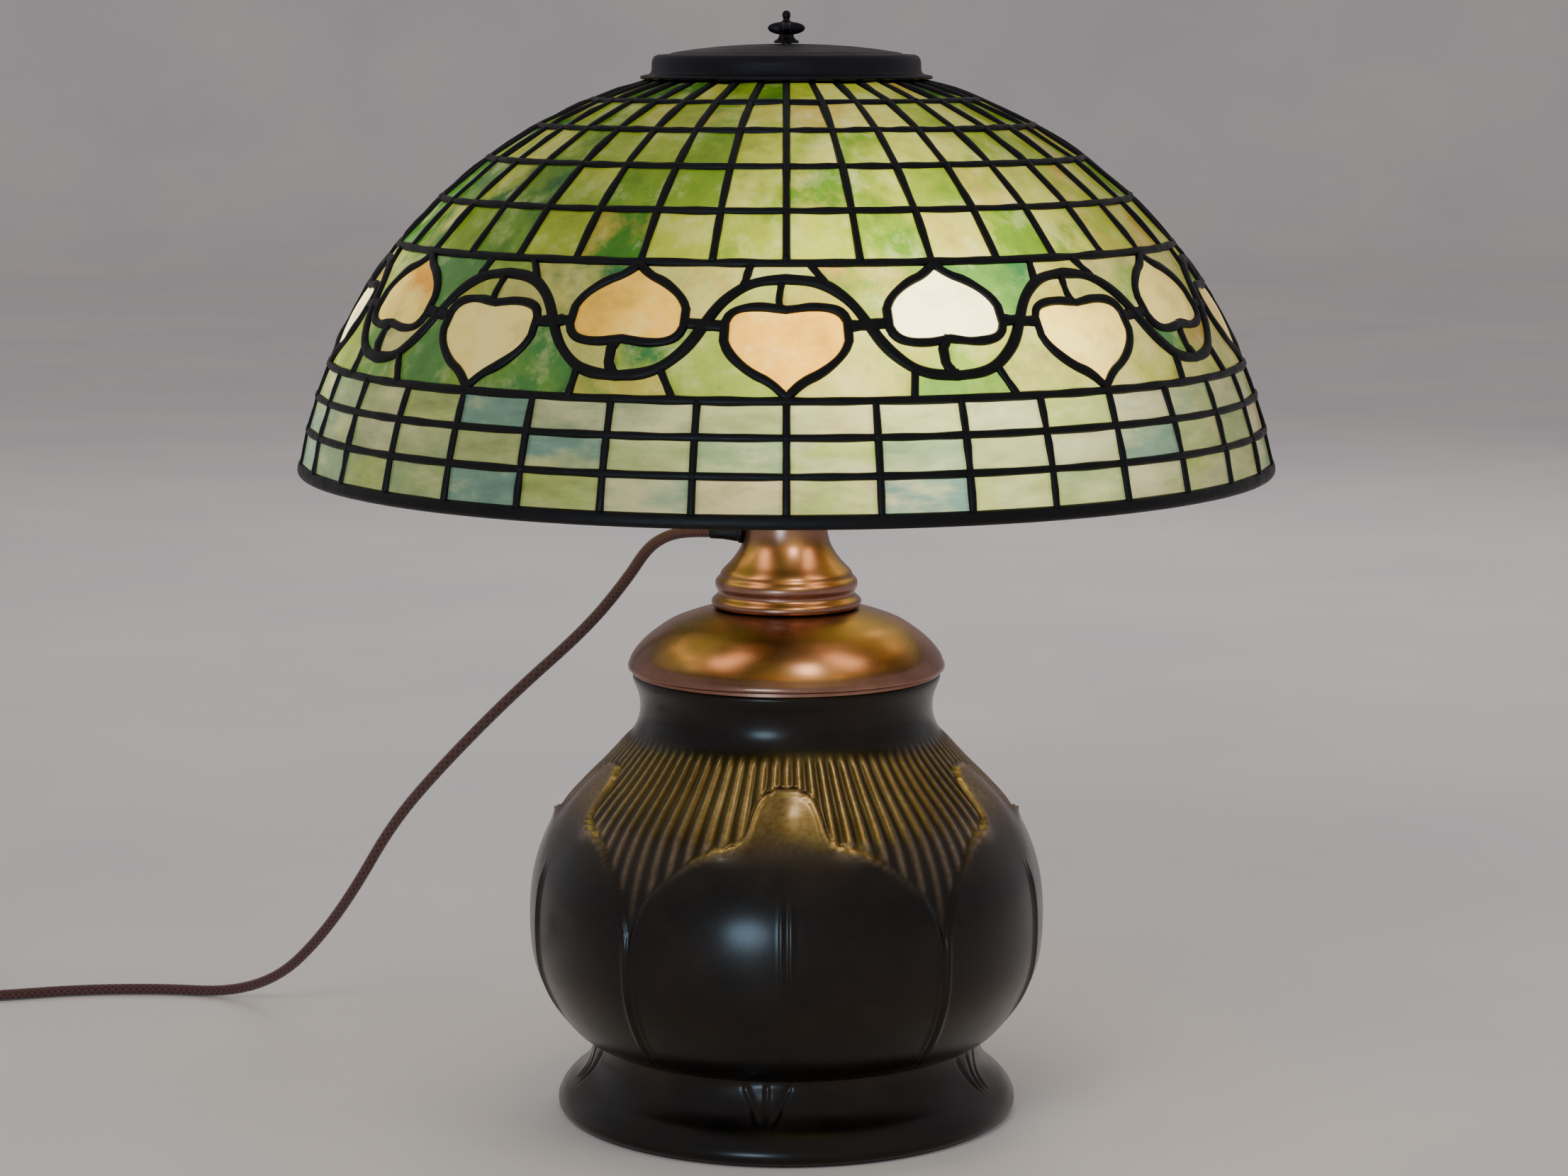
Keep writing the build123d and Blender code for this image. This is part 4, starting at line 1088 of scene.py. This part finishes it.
def urnRelief(profile, look):
    # relief and gold colour for half a leaf, from its middle to its edge, mirrored and repeated round the
    # urn; the gold is partly worn gilding and partly painted highlight
    beadLook, tipLook, curlLook = look["bead"], look["tip"], look["curl"]
    midrib, seamLook = look["midrib"], look["seam"]
    half = look["around"] // look["leaves"] // 2
    off = np.linspace(0, 180 / look["leaves"], half + 1)[None, :]
    radius, height = profile[:, :1], profile[:, 1:]
    along = np.r_[0, np.cumsum(np.linalg.norm(np.diff(profile, axis=0), axis=1))][:, None]
    onBelly = height > look["bellyStart"]
    x = np.radians(off) * radius
    leaf = np.array(look["leaf"])
    fine, given = np.linspace(0, 1, 60), np.linspace(0, 1, len(leaf))
    leaf = np.stack([np.interp(fine, given, leaf[:, k]) for k in (0, 1)], 1)
    order = np.argsort(height[:, 0])
    leafRadius = np.interp(leaf[:, 1], height[order, 0], radius[order, 0])
    leafAlong = np.interp(leaf[:, 1], height[order, 0], along[order, 0])
    leafLine = np.stack([np.radians(leaf[:, 0]) * leafRadius, leafAlong], 1)
    away = lineDistance(x, np.broadcast_to(along, x.shape), leafLine)
    top = np.interp(off, leaf[:, 0], leaf[:, 1])
    signed = np.where(height < top, away, -away)
    inside = easeBetween(signed, *look["leafEdge"]) * onBelly
    relief = look["leafRelief"] * inside
    bead = np.exp(-((signed - beadLook["middle"]) / beadLook["wide"]) ** 2) * onBelly
    bead = bead * easeBetween(height, *beadLook["rises"])
    nearTip = 1 - 0.7 * easeBetween(off, *beadLook["fades"])
    relief += beadLook["high"] * bead * nearTip
    tipPlace = -((x / tipLook["size"]) ** 2) - ((height - tipLook["height"]) / tipLook["size"]) ** 2
    relief += tipLook["high"] * inside * np.exp(tipPlace)
    curlPlace = -((off - curlLook["turn"]) / curlLook["wide"]) ** 2
    curl = np.exp(curlPlace - ((height - curlLook["height"]) / curlLook["tall"]) ** 2)
    relief += curlLook["high"] * curl * inside
    tip = inside * easeBetween(height, *tipLook["gildedAndSheen"])

    begins, ends, clear = look["ribRange"]
    window = easeBetween(height, *begins) * (1 - easeBetween(height, *ends)) * easeBetween(-signed, *clear)
    ridge = 0.5 + 0.5 * np.cos(np.radians(off) * look["ribs"])
    relief += look["ribDepth"] * (ridge**1.3) * window * 1.6

    lower = easeBetween(height, 42, 56) * (1 - easeBetween(height, 104, 118))
    relief += midrib["high"] * np.exp(-((x - midrib["away"]) / midrib["wide"]) ** 2) * lower - (
        midrib["groove"] * np.exp(-((x / midrib["grooveWide"]) ** 2)) * lower
    )
    edge = np.radians(180 / look["leaves"] - off) * radius
    seam = easeBetween(height, 36, 44) * (1 - easeBetween(height, 88, 98))
    ridgeLine = seamLook["high"] * np.exp(-((edge - seamLook["away"]) / seamLook["wide"]) ** 2)
    groove = seamLook["groove"] * np.exp(-((edge / seamLook["grooveWide"]) ** 2))
    relief += (ridgeLine - groove) * seam * inside

    # painted highlight, with some worn gilding: gold on the rib ridges, the outline bead, the leaf tips and
    # curls, less towards a leaf's sides
    onBead = 0.6 * bead * nearTip * easeBetween(height, 108, 128)
    gold = 0.95 * ridge**3 * window + onBead + 0.55 * tip + 0.4 * curl
    gold = np.clip(gold * (1 - 0.35 * easeBetween(off, 16, 32)), 0, 1)
    mirror = np.r_[np.arange(half + 1), np.arange(half - 1, 0, -1)]
    whole = [np.tile(values[:, mirror], (1, look["leaves"])) for values in (relief, gold)]

    turn = np.arange(look["around"]) * 360 / look["around"]
    local = (turn - look["footTurn"] + 36) % 72 - 36
    footX = np.abs(np.radians(local))[None, :] * radius
    flare = 3.4 + 6.0 * np.clip((height - 15.0) / 15, 0, 1) ** 1.4
    cut = np.exp(-((footX / 0.9) ** 2)) + np.exp(-(((footX - flare) / 1.0) ** 2))
    whole[0] -= 1.0 * cut * easeBetween(height, 14, 18) * (1 - easeBetween(height, 29, 32.5))
    raised = easeBetween(height, 12, 19) * (1 - easeBetween(height, 27, 32.5))
    whole[0] += 0.8 * np.exp(-((footX / 9) ** 2)) * raised
    return whole


def makeUrn(look):
    # the outer face is the turned profile moved square to itself by the relief; the wall comes back inside
    outer = np.vstack([smoothLine(look["foot"], 34), smoothLine(look["belly"], look["stations"] - 33)[1:]])
    slope = np.gradient(outer, axis=0)
    slope /= np.linalg.norm(slope, axis=1, keepdims=True)
    relief, gold = urnRelief(outer, look)
    turn = np.radians(np.arange(look["around"]) * 360 / look["around"])[None, :]
    radius = outer[:, :1] + relief * slope[:, 1:]
    height = outer[:, 1:] - relief * slope[:, :1]
    wall = np.array(look["wall"])
    radius = np.vstack([radius, np.repeat(wall[:, :1], look["around"], 1)])
    height = np.vstack([height, np.repeat(wall[:, 1:], look["around"], 1)])
    gold = np.vstack([gold, np.zeros((len(wall), look["around"]))])
    points = np.stack([radius * np.sin(turn), -radius * np.cos(turn), height], -1)
    faces = gridFaces(len(radius), look["around"], closeRows=True, closeColumns=True)
    return makeMesh("castUrn", points, faces, urnFinish(), "base", ("urn_body",),
                    {"gold": gold.reshape(-1, 1)})


def urnFinish():
    # nearly black patina on the belly, warmer round the ribs, with gold on whatever stands proud: partly worn
    # gilding, partly painted highlight
    material, tree, shader = nodesOf("urnPatina")
    cloud = noiseAt(tree, 26, 7, roughness=0.6)
    speck = noiseAt(tree, 420, 4)
    base = ramp(tree, cloud, ((0.32, srgb(22, 16, 12)), (0.56, srgb(33, 25, 18)), (0.75, srgb(48, 36, 24))))
    place = node(tree, "ShaderNodeTexCoord")
    split = tree.nodes.new("ShaderNodeSeparateXYZ")
    tree.links.new(place.outputs["Object"], split.inputs["Vector"])
    band = node(tree, "ShaderNodeMapRange")
    band.inputs["From Min"].default_value = 0.0
    band.inputs["From Max"].default_value = 0.2
    tree.links.new(split.outputs["Z"], band.inputs["Value"])
    shoulder = ramp(tree, band.outputs["Result"], ((0.55, 0.0), (0.7, 0.6), (0.79, 0.85), (0.84, 0.0)))
    warm = ramp(tree, cloud, ((0.3, srgb(50, 38, 28)), (0.7, srgb(80, 64, 46))))
    body = blendOf(tree, shoulder, base, warm)
    # gold of the raised places: partly worn gilding, partly painted highlight
    wornGoldAndSheen = ramp(tree, speck, ((0.3, srgb(134, 108, 80)), (0.7, srgb(172, 146, 114))))
    colour = blendOf(tree, attributeOf(tree, "gold", "Fac"), body, wornGoldAndSheen)
    tree.links.new(colour, shader.inputs["Base Color"])
    shader.inputs["Metallic"].default_value = 0.8
    shader.inputs["Coat Weight"].default_value = 0.35
    shader.inputs["Coat Roughness"].default_value = 0.22
    tree.links.new(ramp(tree, cloud, ((0.3, 0.24), (0.75, 0.4))), shader.inputs["Roughness"])
    bumpFrom(tree, shader, speck, 0.12, 0.0002)
    return material


makeUrn(urnLook)
print("urn cast")


bulbGlow = plainFinish("frostedBulb", srgb(255, 236, 204), srgb(255, 244, 222), 0.4)
bulbShader = bulbGlow.node_tree.nodes["Principled BSDF"]
bulbShader.inputs["Emission Color"].default_value = srgb(255, 222, 168)
bulbShader.inputs["Emission Strength"].default_value = 5.0
nodeFinishes = {
    "felt": ("felt_pad",),
    "steel": ("base_plate", "bottom_nut", "neck_nut", "finial_stud"),
    "iron": ("ballast_weight",),
    "polished": ("font_canister",),
    "brass": (
        "lamp_pipe", "socket_caps", "socket_shells", "screw_shells", "bulb_bases", "wheel_nuts",
        "plug_blades",
    ),
    "dark": ("cluster_body", "cluster_arms", "shade_wheel"),
    "porcelain": ("socket_cores",),
    "black": ("switch_key_1", "switch_key_2", "switch_key_3", "cord_tie"),
}
for finishName, nodeNames in nodeFinishes.items():
    for nodeName in nodeNames:
        for slot in bpy.data.objects[nodeName].material_slots:
            slot.material = finishes[finishName]
for slot in bpy.data.objects["bulb_glass"].material_slots:
    slot.material = bulbGlow
print("remaining parts finished")
